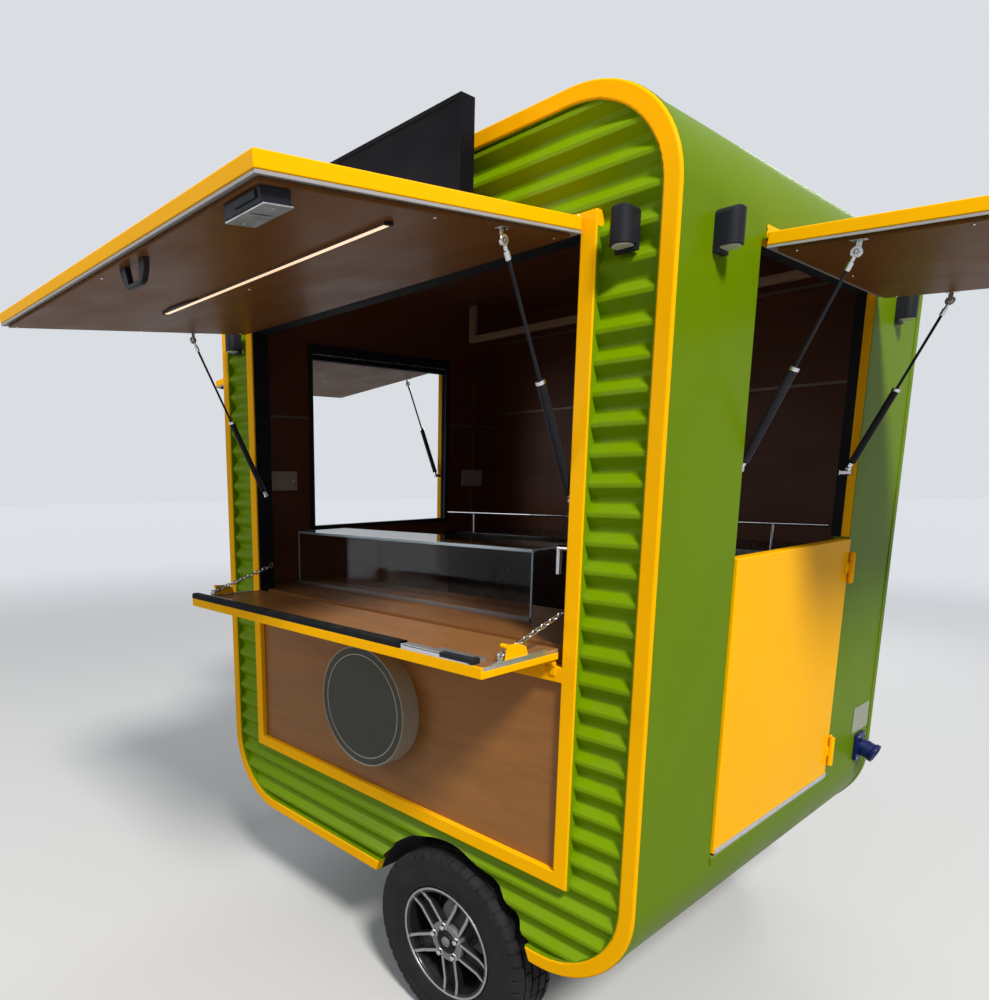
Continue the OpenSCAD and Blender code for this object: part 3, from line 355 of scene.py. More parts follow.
def copied(piece, place):
    """A copy of a piece with its own mesh, set in place by a matrix."""
    only(piece)
    bpy.ops.object.duplicate(linked=False)
    return settle(bpy.context.object, place)


def repeated(name, piece, places):
    """Copies of a piece at places made into one. The piece itself is used up."""
    copies = [copied(piece, place) for place in places]
    bpy.data.objects.remove(piece)
    return joined(name, copies)


def flipped(piece, x):
    """A piece mirrored in the plane at x, with its faces turned back out."""
    settle(piece, Matrix.Translation((2 * x, 0, 0)) @ Matrix.Diagonal((-1, 1, 1, 1)))
    with editing(piece):
        bpy.ops.mesh.normals_make_consistent(inside=False)


def from_node(name, *nodes):
    """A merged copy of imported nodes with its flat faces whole, ready to be refined."""
    pieces = []
    for node in nodes:
        piece = bpy.data.objects.new(name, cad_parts[node].data.copy())
        bpy.context.collection.objects.link(piece)
        pieces.append(piece)
    piece = joined(name, pieces)
    piece.data.materials.clear()
    bpy.ops.mesh.customdata_custom_splitnormals_clear()
    with editing(piece):
        bpy.ops.mesh.remove_doubles(threshold=NODE_MERGE)
        bpy.ops.mesh.dissolve_limited(angle_limit=FLAT)
    return piece


def rounded_box(name, low, high, axis, radius, segments=24):
    """A box with its four edges along an axis rounded."""
    piece = slab(name, low, high)
    along = Vector([float(letter == axis) for letter in "XYZ"])
    round_edges(piece, lambda place, way: abs(way.dot(along)) > STRAIGHT, radius, segments)
    return piece


def screws(name, places, axis, radius):
    """Small domed screw heads at places, standing out along an axis."""
    dome = [(0, -radius * 0.4), (radius, -radius * 0.4), (radius, radius * 0.15),
            (radius * 0.72, radius * 0.45), (radius * 0.3, radius * 0.58),
            (radius * 0.3, radius * 0.25), (0, radius * 0.25)]
    head = lathe(name, dome, steps=12)
    return smooth(repeated(name, head, [facing(place, axis) for place in places]))


def deliver(piece, slot, body="kiosk", nodes=(), finish=None):
    """Gives a finished piece its finish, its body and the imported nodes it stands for."""
    if (finish or slot) not in FINISHES:
        raise RuntimeError(f"no finish named {finish or slot}: run the Finishes operator first")
    piece.data.materials.clear()
    piece.data.materials.append(FINISHES[finish or slot])
    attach(piece, body)
    if nodes:
        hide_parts(*nodes)
    return piece


FINISHES = {}
GROUPS = {}


class Net:
    """Adds and links the nodes of one shader tree."""

    def __init__(self, tree):
        self.tree = tree

    def add(self, kind, values=(), **traits):
        node = self.tree.nodes.new(kind)
        for trait, value in traits.items():
            setattr(node, trait, value)
        for socket, value in dict(values).items():
            if isinstance(value, bpy.types.NodeSocket):
                self.tree.links.new(value, node.inputs[socket])
            else:
                node.inputs[socket].default_value = value
        return node

    def math(self, operation, first, second=0.0, clamp=False):
        node = self.add("ShaderNodeMath", {0: first, 1: second}, operation=operation,
                        use_clamp=clamp)
        return node.outputs[0]

    def blend(self, factor, first, second):
        node = self.add("ShaderNodeMix", {0: factor, 6: first, 7: second}, data_type="RGBA")
        return node.outputs[2]

    def spread(self, value, low, high, to_low=0.0, to_high=1.0):
        node = self.add("ShaderNodeMapRange", {0: value, 1: low, 2: high, 3: to_low, 4: to_high})
        return node.outputs[0]

    def noise(self, where, scale, detail=4.0, roughness=0.55):
        node = self.add("ShaderNodeTexNoise", {"Vector": where, "Scale": scale,
                                               "Detail": detail, "Roughness": roughness})
        return node.outputs[0]

    def stretch(self, where, scale):
        node = self.add("ShaderNodeMapping", {"Vector": where, "Scale": scale})
        return node.outputs[0]

    def group(self, name, **values):
        node = self.tree.nodes.new("ShaderNodeGroup")
        node.node_tree = GROUPS[name]
        for label, value in values.items():
            socket = node.inputs[label.replace("_", " ")]
            if isinstance(value, bpy.types.NodeSocket):
                self.tree.links.new(value, socket)
            else:
                socket.default_value = value
        return node


def new_group(name, outputs, **inputs):
    """A node group with its sockets, and the Net that fills it. Every group takes a Vector."""
    tree = bpy.data.node_groups.new(name, "ShaderNodeTree")
    kinds = {"Vector": "Vector", "Direction": "Vector", "Color": "Color"}
    sockets = [("Vector", "INPUT"), *((label, "INPUT") for label in inputs),
               *((label, "OUTPUT") for label in outputs)]
    for label, way in sockets:
        socket = tree.interface.new_socket(
            label, in_out=way, socket_type="NodeSocket" + kinds.get(label, "Float"))
        if way == "INPUT" and label in inputs:
            socket.default_value = inputs[label]
    GROUPS[name] = tree
    net = Net(tree)
    return net, net.add("NodeGroupInput").outputs, net.add("NodeGroupOutput").inputs


def build_groups():
    """The effects that several finishes share."""
    # Colour that drifts softly between two tones
    net, given, out = new_group("Tone Drift", ("Color",), Color=(0.5, 0.5, 0.5, 1), Scale=3.0,
                                Drift=0.1)
    cloud = net.noise(given["Vector"], given["Scale"], detail=5)
    shade = net.spread(cloud, 0.3, 0.7, -1.0, 1.0)
    value = net.math("MULTIPLY_ADD", shade, given["Drift"])
    value.node.inputs[2].default_value = 1.0
    tinted = net.add("ShaderNodeHueSaturation", {"Color": given["Color"], "Value": value})
    net.tree.links.new(tinted.outputs[0], out["Color"])

    # Mask of the outer edges, broken up by noise, that lightens them: partly wear, partly a
    # painted highlight
    net, given, out = new_group("Edge Wear And Highlight", ("Mask",), Radius=0.003, Scale=40.0, Amount=0.5)
    rounded = net.add("ShaderNodeBevel", {"Radius": given["Radius"]}, samples=4)
    flat = net.add("ShaderNodeNewGeometry")
    same = net.add("ShaderNodeVectorMath", {0: rounded.outputs[0], 1: flat.outputs["Normal"]},
                   operation="DOT_PRODUCT")
    edge = net.spread(same.outputs["Value"], 0.985, 0.9, 0.0, 1.0)
    broken = net.spread(net.noise(given["Vector"], given["Scale"], detail=6), 0.48, 0.62)
    worn_and_highlit = net.math("MULTIPLY", edge, broken)
    worn_and_highlit = net.math("MULTIPLY", worn_and_highlit, given["Amount"], clamp=True)
    net.tree.links.new(worn_and_highlit, out["Mask"])

    # Mask of dust that lies on level tops and gathers in patches
    net, given, out = new_group("Settled Dust", ("Mask",), Scale=6.0, Amount=0.3)
    flat = net.add("ShaderNodeNewGeometry")
    upward = net.add("ShaderNodeSeparateXYZ", {0: flat.outputs["Normal"]}).outputs["Z"]
    level = net.spread(upward, 0.2, 1.0, 0.25, 1.0)
    patches = net.spread(net.noise(given["Vector"], given["Scale"], detail=8, roughness=0.65),
                         0.42, 0.75)
    fallen = net.math("MULTIPLY", net.math("MULTIPLY", level, patches), given["Amount"],
                      clamp=True)
    net.tree.links.new(fallen, out["Mask"])

    # Mask of thin streaks that rain leaves down a wall
    net, given, out = new_group("Rain Streaks", ("Mask",), Scale=14.0, Amount=0.2)
    drawn = net.stretch(given["Vector"], (1.0, 1.0, 0.06))
    runs = net.spread(net.noise(drawn, given["Scale"], detail=7, roughness=0.7), 0.55, 0.8)
    net.tree.links.new(net.math("MULTIPLY", runs, given["Amount"], clamp=True), out["Mask"])

    # Height of the soft dimples of sprayed or moulded surfaces
    net, given, out = new_group("Orange Peel", ("Height",), Scale=260.0, Swell=0.3)
    fine = net.noise(given["Vector"], given["Scale"], detail=1)
    broad = net.math("MULTIPLY", net.noise(given["Vector"], 3.5, detail=1), given["Swell"])
    net.tree.links.new(net.math("ADD", fine, broad), out["Height"])

    # Fine lines drawn along one direction: brushed metal, rolled sheet, pressed board
    net, given, out = new_group("Drawn Lines", ("Height", "Mask"), Direction=(0.02, 1.0, 1.0),
                                Scale=300.0)
    turned = net.add("ShaderNodeVectorMath", {0: given["Vector"], 1: given["Direction"]},
                     operation="MULTIPLY").outputs[0]
    lines = net.noise(turned, given["Scale"], detail=3)
    net.tree.links.new(lines, out["Height"])
    net.tree.links.new(net.spread(lines, 0.4, 0.6), out["Mask"])

    # Figure of a wood laminate: long bands, fine pores and a few dark knots
    net, given, out = new_group("Board Figure", ("Color", "Height"), Color=(0.3, 0.2, 0.1, 1),
                                Direction=(1.0, 1.0, 7.0), Contrast=0.25)
    turned = net.add("ShaderNodeVectorMath", {0: given["Vector"], 1: given["Direction"]},
                     operation="MULTIPLY").outputs[0]
    warp = net.add("ShaderNodeTexNoise", {"Vector": turned, "Scale": 1.3, "Detail": 2.0})
    bent = net.add("ShaderNodeVectorMath", {0: warp.outputs["Color"], 1: turned},
                   operation="ADD").outputs[0]
    bands = net.noise(bent, 2.6, detail=7, roughness=0.62)
    pores = net.noise(turned, 95.0, detail=2)
    spots = net.add("ShaderNodeTexVoronoi",
                    {"Vector": given["Vector"], "Scale": 3.1, "Randomness": 1.0})
    knots = net.spread(spots.outputs["Distance"], 0.03, 0.09, 1.0, 0.0)
    value = net.math("ADD", net.spread(bands, 0.3, 0.7, -1.0, 1.0),
                     net.spread(pores, 0.3, 0.7, -0.35, 0.35))
    value = net.math("SUBTRACT", value, net.math("MULTIPLY", knots, 1.5))
    value = net.math("MULTIPLY_ADD", value, given["Contrast"])
    value.node.inputs[2].default_value = 1.0
    figure = net.add("ShaderNodeHueSaturation", {"Color": given["Color"], "Value": value})
    net.tree.links.new(figure.outputs[0], out["Color"])
    net.tree.links.new(pores, out["Height"])

    # Fine speckle of moulded plastic, rubber and stone
    net, given, out = new_group("Speckle", ("Height", "Mask"), Scale=700.0)
    grains = net.noise(given["Vector"], given["Scale"], detail=2, roughness=0.7)
    net.tree.links.new(grains, out["Height"])
    net.tree.links.new(net.spread(grains, 0.52, 0.66), out["Mask"])


class Finish:
    """One material: layers of colour, roughness and height that end in its shader."""

    def __init__(self, slot, coat=None, specular=None, **constants):
        self.material = bpy.data.materials.new(slot)
        self.material.use_nodes = True
        self.net = Net(self.material.node_tree)
        self.shader = self.material.node_tree.nodes["Principled BSDF"]
        if coat:
            constants["Coat_Weight"], constants["Coat_Roughness"] = coat
        if specular is not None:
            constants["Specular_IOR_Level"] = specular
        for label, value in constants.items():
            self.shader.inputs[label.replace("_", " ")].default_value = value
        self.where = self.net.add("ShaderNodeTexCoord").outputs["Object"]
        self.color = None
        self.roughness = None
        self.height = None
        FINISHES[slot] = self.material

    def base(self, color, scale=3.0, drift=0.1):
        group = self.net.group("Tone Drift", Vector=self.where, Color=(*color, 1), Scale=scale,
                               Drift=drift)
        self.color = group.outputs["Color"]
        return self

    def rough(self, low, high, scale=5.0):
        cloud = self.net.noise(self.where, scale, detail=6)
        self.roughness = self.net.spread(cloud, 0.3, 0.7, low, high)
        return self

    def layer(self, mask, color, roughness=None):
        self.color = self.net.blend(mask, self.color, (*color, 1))
        if roughness is not None:
            self.roughness = self.net.math(
                "ADD", self.roughness, self.net.math("MULTIPLY", mask, roughness), clamp=True)
        return self

    # Lightens the rounded edges through the edge mask: partly wear, partly a painted highlight
    # along them.
    def wear_and_highlight(self, color, amount=0.5, radius=0.003, scale=40.0):
        mask = self.net.group("Edge Wear And Highlight", Vector=self.where, Radius=radius, Scale=scale,
                              Amount=amount)
        return self.layer(mask.outputs["Mask"], color, 0.15)

    def dust(self, amount=0.3, scale=6.0, color=(0.42, 0.38, 0.3)):
        mask = self.net.group("Settled Dust", Vector=self.where, Scale=scale, Amount=amount)
        return self.layer(mask.outputs["Mask"], color, 0.35)

    def streaks(self, amount=0.2, scale=14.0, color=(0.2, 0.19, 0.12)):
        mask = self.net.group("Rain Streaks", Vector=self.where, Scale=scale, Amount=amount)
        return self.layer(mask.outputs["Mask"], color, 0.2)

    def raise_by(self, height, strength, distance):
        values = {"Strength": strength, "Distance": distance, "Height": height}
        if self.height is not None:
            values["Normal"] = self.height
        self.height = self.net.add("ShaderNodeBump", values).outputs[0]
        return self

    def peel(self, strength=0.1, distance=0.0006, scale=260.0, swell=0.3):
        group = self.net.group("Orange Peel", Vector=self.where, Scale=scale, Swell=swell)
        return self.raise_by(group.outputs["Height"], strength, distance)

    def speckle(self, strength=0.3, distance=0.0003, scale=700.0, color=None):
        group = self.net.group("Speckle", Vector=self.where, Scale=scale)
        if color is not None:
            self.layer(group.outputs["Mask"], color)
        return self.raise_by(group.outputs["Height"], strength, distance)

    def lines(self, direction, strength=0.15, distance=0.0002, scale=300.0, color=None):
        group = self.net.group("Drawn Lines", Vector=self.where, Direction=direction, Scale=scale)
        if color is not None:
            self.color = self.net.blend(self.net.math("MULTIPLY", group.outputs["Mask"], 0.35),
                                        self.color, (*color, 1))
        return self.raise_by(group.outputs["Height"], strength, distance)

    def figure(self, color, direction, contrast=0.25, strength=0.05):
        group = self.net.group("Board Figure", Vector=self.where, Color=(*color, 1),
                               Direction=direction, Contrast=contrast)
        self.color = group.outputs["Color"]
        return self.raise_by(group.outputs["Height"], strength, 0.0003)

    def done(self):
        links = self.material.node_tree.links
        for label, value in (("Base Color", self.color), ("Roughness", self.roughness),
                             ("Normal", self.height)):
            if value is not None:
                links.new(value, self.shader.inputs[label])
        return self.material


def build_finishes(colours):
    """Every finish of the kiosk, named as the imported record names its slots."""
    (Finish("lime_shell", coat=(0.05, 0.16), specular=0.015).base(colours.lime, 1.6, 0.04)
     .rough(0.3, 0.42).streaks(0.06, color=(0.12, 0.16, 0.02)).dust(0.04, 5.0)
     .wear_and_highlight((0.5, 0.6, 0.2), 0.2).peel(0.1, 0.0007).done())
    # The edge mask lightens the cladding's crease edges: partly wear, partly a painted highlight
    # on the crests.
    (Finish("lime_cladding", coat=(0.08, 0.08), specular=0.03)
     .base(colours.lime_sheet, 2.2, 0.06).rough(0.24, 0.38).dust(0.05, 7.0)
     .wear_and_highlight((0.5, 0.62, 0.16), 0.25, 0.0016).lines((0.03, 1.0, 1.0), 0.05, 0.0003, 120.0).done())
    (Finish("yellow_paint", coat=(0.05, 0.18), specular=0.015).base(colours.yellow, 2.0, 0.03)
     .rough(0.32, 0.45).dust(0.03, 6.0).wear_and_highlight((0.85, 0.6, 0.14), 0.25, 0.002).peel(0.08, 0.0005)
     .done())
    (Finish("yellow_trim", coat=(0.05, 0.18), specular=0.015).base(colours.trim, 4.0, 0.04)
     .rough(0.32, 0.45).streaks(0.05, color=(0.3, 0.16, 0.02))
     .wear_and_highlight((0.8, 0.55, 0.14), 0.25, 0.003).peel(0.08, 0.0005).done())
    (Finish("brown_laminate", coat=(0.04, 0.15), specular=0.2).rough(0.34, 0.48)
     .figure(colours.panel, (1.2, 1.2, 8.0), 0.13).dust(0.04, 5.0)
     .wear_and_highlight((0.34, 0.2, 0.1), 0.3, 0.002).done())
    (Finish("brown_panel", coat=(0.03, 0.15), specular=0.05).rough(0.36, 0.5)
     .figure(colours.laminate, (1.2, 6.0, 6.0), 0.12).dust(0.04, 5.0)
     .wear_and_highlight((0.24, 0.15, 0.09), 0.35, 0.002).done())
    (Finish("flap_laminate", coat=(0.03, 0.15), specular=0.05).rough(0.3, 0.42)
     .figure(colours.panel, (1.2, 6.0, 6.0), 0.1).dust(0.05, 7.0)
     .wear_and_highlight((0.34, 0.22, 0.13), 0.35, 0.002).done())
    (Finish("brown_lining", coat=(0.03, 0.2), specular=0.2).rough(0.42, 0.56)
     .figure(colours.lining, (1.0, 1.0, 7.0), 0.12).wear_and_highlight((0.16, 0.09, 0.05), 0.3, 0.0015)
     .done())
    (Finish("black_metal", specular=0.12).base((0.012, 0.013, 0.018), 6.0, 0.2)
     .rough(0.38, 0.52).dust(0.04, 12.0).wear_and_highlight((0.14, 0.14, 0.15), 0.35, 0.0012)
     .speckle(0.3, 0.0002, 900.0).done())
    (Finish("black_plastic", specular=0.15).base((0.010, 0.010, 0.013), 8.0, 0.15)
     .rough(0.45, 0.6).dust(0.04, 14.0).wear_and_highlight((0.06, 0.06, 0.065), 0.35, 0.001)
     .speckle(0.35, 0.0002, 1100.0).done())
    (Finish("black_rubber", specular=0.06).base((0.010, 0.011, 0.013), 9.0, 0.2)
     .rough(0.6, 0.8).dust(0.06, 16.0).wear_and_highlight((0.05, 0.05, 0.05), 0.35, 0.0015)
     .speckle(0.35, 0.0003, 800.0).done())
    # The tyre's dust greys its upward faces heavily: partly dust, partly a painted highlight on
    # the tyre's top.
    (Finish("tyre_rubber", specular=0.15).base((0.013, 0.013, 0.015), 12.0, 0.25)
     .rough(0.6, 0.82, 9.0).dust(0.22, 9.0, (0.12, 0.11, 0.10))
     .wear_and_highlight((0.075, 0.073, 0.072), 0.5, 0.002).speckle(0.5, 0.0004, 500.0).done())
    (Finish("rim_black", coat=(0.15, 0.1), specular=0.2).base((0.010, 0.010, 0.012), 8.0, 0.2)
     .rough(0.28, 0.42).dust(0.06, 12.0).wear_and_highlight((0.16, 0.16, 0.16), 0.3, 0.001).peel(0.1, 0.0004)
     .done())
    (Finish("rim_alloy", Metallic=1.0).base((0.36, 0.36, 0.37), 9.0, 0.08)
     .rough(0.34, 0.48, 20.0).dust(0.06, 14.0).lines((1.0, 0.1, 1.0), 0.1, 0.0002, 500.0)
     .done())
    (Finish("hub_silver", Metallic=0.6).base((0.20, 0.20, 0.205), 14.0, 0.12)
     .rough(0.42, 0.58, 18.0).dust(0.1, 10.0, (0.2, 0.19, 0.18))
     .wear_and_highlight((0.5, 0.5, 0.52), 0.35, 0.0012).speckle(0.25, 0.0003, 420.0).done())
    (Finish("aluminium", Metallic=0.9).base((0.60, 0.61, 0.62), 10.0, 0.06)
     .rough(0.32, 0.46, 14.0).dust(0.08, 10.0).wear_and_highlight((0.8, 0.8, 0.8), 0.3, 0.001)
     .lines((0.03, 1.0, 1.0), 0.18, 0.0002, 450.0, (0.50, 0.51, 0.52)).done())
    (Finish("stainless", Metallic=1.0).base((0.58, 0.58, 0.6), 12.0, 0.06)
     .rough(0.16, 0.3, 18.0).wear_and_highlight((0.8, 0.8, 0.8), 0.2, 0.001)
     .lines((0.04, 1.0, 1.0), 0.12, 0.0001, 700.0).done())
    (Finish("zinc_steel", Metallic=0.8).base((0.34, 0.36, 0.38), 30.0, 0.18)
     .rough(0.4, 0.62, 24.0).dust(0.2, 9.0, (0.26, 0.24, 0.21))
     .wear_and_highlight((0.52, 0.54, 0.56), 0.4, 0.002).speckle(0.3, 0.0004, 320.0, (0.42, 0.44, 0.46))
     .done())
    (Finish("sign_grey", specular=0.2).base((0.30, 0.28, 0.23), 5.0, 0.06).rough(0.42, 0.56)
     .streaks(0.06).wear_and_highlight((0.6, 0.6, 0.56), 0.3, 0.002).peel(0.12, 0.0004).done())
    (Finish("sign_black", coat=(0.04, 0.08), specular=0.15)
     .base((0.049, 0.051, 0.040), 3.0, 0.12).rough(0.34, 0.46).dust(0.04, 8.0)
     .wear_and_highlight((0.1, 0.1, 0.09), 0.3, 0.002).peel(0.06, 0.0004).done())
    (Finish("sign_line", specular=0.3).base((0.42, 0.40, 0.33), 8.0, 0.08).rough(0.4, 0.55)
     .wear_and_highlight((0.6, 0.58, 0.5), 0.3, 0.0008).peel(0.05, 0.0002).done())
    (Finish("sign_board_black", coat=(0.02, 0.06), specular=0.04)
     .base((0.005, 0.005, 0.008), 3.0, 0.15).rough(0.32, 0.44).dust(0.03, 8.0)
     .wear_and_highlight((0.09, 0.09, 0.1), 0.3, 0.0015).peel(0.06, 0.0004).done())
    (Finish("lamp_lens", Transmission_Weight=0.3, IOR=1.46)
     .base((0.80, 0.78, 0.70), 20.0, 0.04).rough(0.3, 0.45, 30.0).peel(0.2, 0.0005, 400.0)
     .done())
    (Finish("led_strip", Emission_Strength=0.9, Emission_Color=(1.0, 0.66, 0.42, 1))
     .base((0.9, 0.82, 0.7), 60.0, 0.05).rough(0.25, 0.4).peel(0.15, 0.0004, 300.0).done())
    (Finish("socket_plastic").base((0.34, 0.28, 0.23), 12.0, 0.06).rough(0.34, 0.48)
     .wear_and_highlight((0.34, 0.3, 0.26), 0.3, 0.001).speckle(0.2, 0.0001, 1200.0).done())
    (Finish("inlet_blue", specular=0.2).base((0.003, 0.010, 0.075), 14.0, 0.12)
     .rough(0.32, 0.46).dust(0.05, 12.0).wear_and_highlight((0.08, 0.16, 0.42), 0.4, 0.001)
     .speckle(0.25, 0.0002, 1000.0).done())
    (Finish("inlet_plate_clear", coat=(0.2, 0.08)).base((0.20, 0.23, 0.15), 12.0, 0.12)
     .rough(0.24, 0.38).dust(0.06, 10.0).wear_and_highlight((0.4, 0.44, 0.34), 0.3, 0.001).peel(0.1, 0.0003)
     .done())
    (Finish("rack_taupe", specular=0.35).base(colours.rack, 6.0, 0.06).rough(0.42, 0.56)
     .dust(0.04, 8.0).wear_and_highlight((0.46, 0.38, 0.3), 0.35, 0.0015).peel(0.1, 0.0004).done())
    (Finish("worktop_black", coat=(0.25, 0.1)).base((0.014, 0.014, 0.016), 5.0, 0.15)
     .rough(0.2, 0.34).wear_and_highlight((0.1, 0.1, 0.1), 0.35, 0.0015)
     .speckle(0.1, 0.0001, 520.0, (0.04, 0.04, 0.045)).done())
    (Finish("floor_grey").base(colours.floor, 5.0, 0.1).rough(0.5, 0.7).dust(0.2, 4.0)
     .wear_and_highlight((0.3, 0.3, 0.3), 0.4, 0.002).speckle(0.3, 0.0004, 260.0, (0.2, 0.2, 0.2)).done())
    (Finish("case_foot", specular=0.3).base((0.13, 0.105, 0.095), 10.0, 0.08).rough(0.4, 0.55)
     .lines((1.0, 0.02, 1.0), 0.1, 0.0002, 200.0).done())
    (Finish("lip_grey", specular=0.3).base((0.34, 0.33, 0.33), 10.0, 0.06).rough(0.4, 0.55)
     .lines((0.03, 1.0, 1.0), 0.1, 0.0002, 260.0).done())
    (Finish("seam_strip", Metallic=0.3).base((0.13, 0.085, 0.055), 10.0, 0.08).rough(0.35, 0.5)
     .wear_and_highlight((0.3, 0.22, 0.16), 0.3, 0.001).peel(0.1, 0.0003).done())
    # Pale blue of the glass edges: partly the glass's own tint, partly a painted highlight.
    (Finish("glass_edge_and_highlight", specular=0.6, coat=(0.5, 0.05)).base((0.32, 0.40, 0.46), 9.0, 0.1)
     .rough(0.12, 0.24).wear_and_highlight((0.6, 0.68, 0.74), 0.3, 0.0008).peel(0.05, 0.0002, 60.0, 1.0)
     .done())
    glass = Finish("clear_glass", Transmission_Weight=1.0, IOR=1.45)
    glass.base((0.90, 0.94, 0.95), 6.0, 0.01).rough(0.0, 0.03, 3.0).peel(0.02, 0.0002, 8.0, 1.0)
    grazing = glass.net.add("ShaderNodeFresnel", {"IOR": 1.45}).outputs[0]
    inner = glass.net.add("ShaderNodeNewGeometry").outputs["Backfacing"]
    clear = glass.net.math("MULTIPLY", glass.net.spread(grazing, 0.03, 0.5, 0.35, 0.8),
                           glass.net.spread(inner, 0.0, 1.0, 1.0, 0.1))
    glass.net.tree.links.new(clear, glass.shader.inputs["Alpha"])
    glass.done()


def serving_frame_place():
    """The serving hatch's hinge line: X along it, -Y out along the hatch."""
    return Matrix.Translation((0, FRAME[0].y - 0.014, FRAME[1].z - 0.012))


def end_frame_place(side):
    """The hinge line of an end hatch, on the side given by 1 or -1."""
    middle = (SILL[0].y + SILL[1].y) / 2
    return Matrix.Translation((side * (END_X + 0.014), middle, OPEN_TOP + 0.012)) \
        @ Matrix.Rotation(side * math.pi / 2, 4, "Z")


def drooped(place):
    """A hinge line turned down to where its hatch is held open."""
    return place @ Matrix.Rotation(bpy.context.scene.kiosk_sizes.droop, 4, "X")


def wheel_place(side):
    """The middle of a wheel's outer side plane, with +Z out along its axle."""
    y = TYRE[0].y if side < 0 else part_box("rear_tyre")[1].y
    turn = Matrix(((1, 0, 0, 0), (0, 0, side, 0), (0, 1, 0, 0), (0, 0, 0, 1)))
    return Matrix.Translation((AXLE_X, y, TYRE_R)) @ turn


def arch_tool(radius, low, high):
    """Cylinders that cut both wheel arches from a body piece."""
    return rod("arch_tool", (AXLE_X, low, TYRE_R), (AXLE_X, high, TYRE_R), radius, sides=96)


def refine(node, name, slot, width, segments=2, finish=None):
    """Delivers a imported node's own shape with its edges rounded."""
    piece = soften(from_node(name, node), width, segments)
    deliver(piece, slot, nodes=(node,), finish=finish)


class KioskPiece:
    """What the operators of all pieces share."""
    bl_options = {"REGISTER", "UNDO"}

    def execute(self, context):
        self.build(context.scene.kiosk_sizes)
        return {"FINISHED"}


class KIOSK_OT_finishes(KioskPiece, Operator):
    """Builds the shared node groups and every finish"""
    bl_idname = "kiosk.finishes"
    bl_label = "Finishes"

    def build(self, sizes):
        build_groups()
        build_finishes(bpy.context.scene.kiosk_colours)


class KIOSK_OT_shell(KioskPiece, Operator):
    """Builds the rounded body shell with its doorway, window and wheel arches"""
    bl_idname = "kiosk.shell"
    bl_label = "Body Shell"

    def build(self, sizes):
        shell = rounded_box("body_shell", (-END_X, WALL_Y, BASE_Z), (END_X, BACK_Y, TOP_Z), "Y",
                            sizes.corner)
        pick(shell, "FACE", lambda place, normal: abs(normal.y) > ALONG)
        bpy.ops.mesh.delete(type="FACE")
        modify(shell, "SOLIDIFY", thickness=sizes.wall, offset=-1, use_even_offset=True)
        reach = 0.1
        for side, low in ((1, DOOR_Z), (-1, WINDOW_Z)):
            ends = sorted((side * (END_X - reach), side * (END_X + reach)))
            cut(shell, slab("opening", (ends[0], SILL[0].y, low), (ends[1], SILL[1].y, OPEN_TOP)))
        cut(shell, arch_tool(ARCH_R, WALL_Y - 0.01, WALL_Y + sizes.arch_depth),
            arch_tool(ARCH_R, BACK_Y - sizes.arch_depth, BACK_Y + 0.01))
        soften(shell, 0.0015, 2, 50)
        deliver(shell, "lime_shell",
                nodes=("underbody_shell", "roof_shell", "right_wall", "left_wall"))
        self.lips(sizes)

    def lips(self, sizes):
        """The shell's painted edges, which cover the sides of the trims up to their faces."""
        out = TRIM[1].x - END_X + 0.0008
        rings = []
        for y0, y1 in ((FACE_Y + sizes.trim_edge, WALL_Y + 0.004),
                       (BACK_Y - 0.004, 2 * MID_Y - FACE_Y - sizes.trim_edge / 4)):
            ring = rounded_box("shell_lip", (-END_X - out, y0, BASE_Z - out),
                               (END_X + out, y1, TOP_Z + out), "Y",
                               sizes.corner + out)
            inner = rounded_box("hole", (-END_X + 0.002, y0 - 0.01, BASE_Z + 0.002),
                                (END_X - 0.002, y1 + 0.01, TOP_Z - 0.002), "Y",
                                sizes.corner - 0.002)
            cut(ring, inner, arch_tool(ARCH_R - 0.001, y0 - 0.01, y1 + 0.01))
            rings.append(soften(ring, 0.0006, 2, 50))
        deliver(joined("shell_lips", rings), "lime_shell")


class KIOSK_OT_cladding(KioskPiece, Operator):
    """Builds the corrugated sheets of the serving face and the rear face"""
    bl_idname = "kiosk.cladding"
    bl_label = "Cladding"

    def build(self, sizes):
        for node in ("front_cladding", "rear_cladding"):
            sheet = from_node(node + "_sheet", node)
            round_edges(sheet, lambda spot, way: abs(way.x) > STRAIGHT, sizes.crease, 3,
                        bend=(25, 50),
                        clamp_overlap=False)
            deliver(smooth(sheet, 30), "lime_cladding", nodes=(node,))


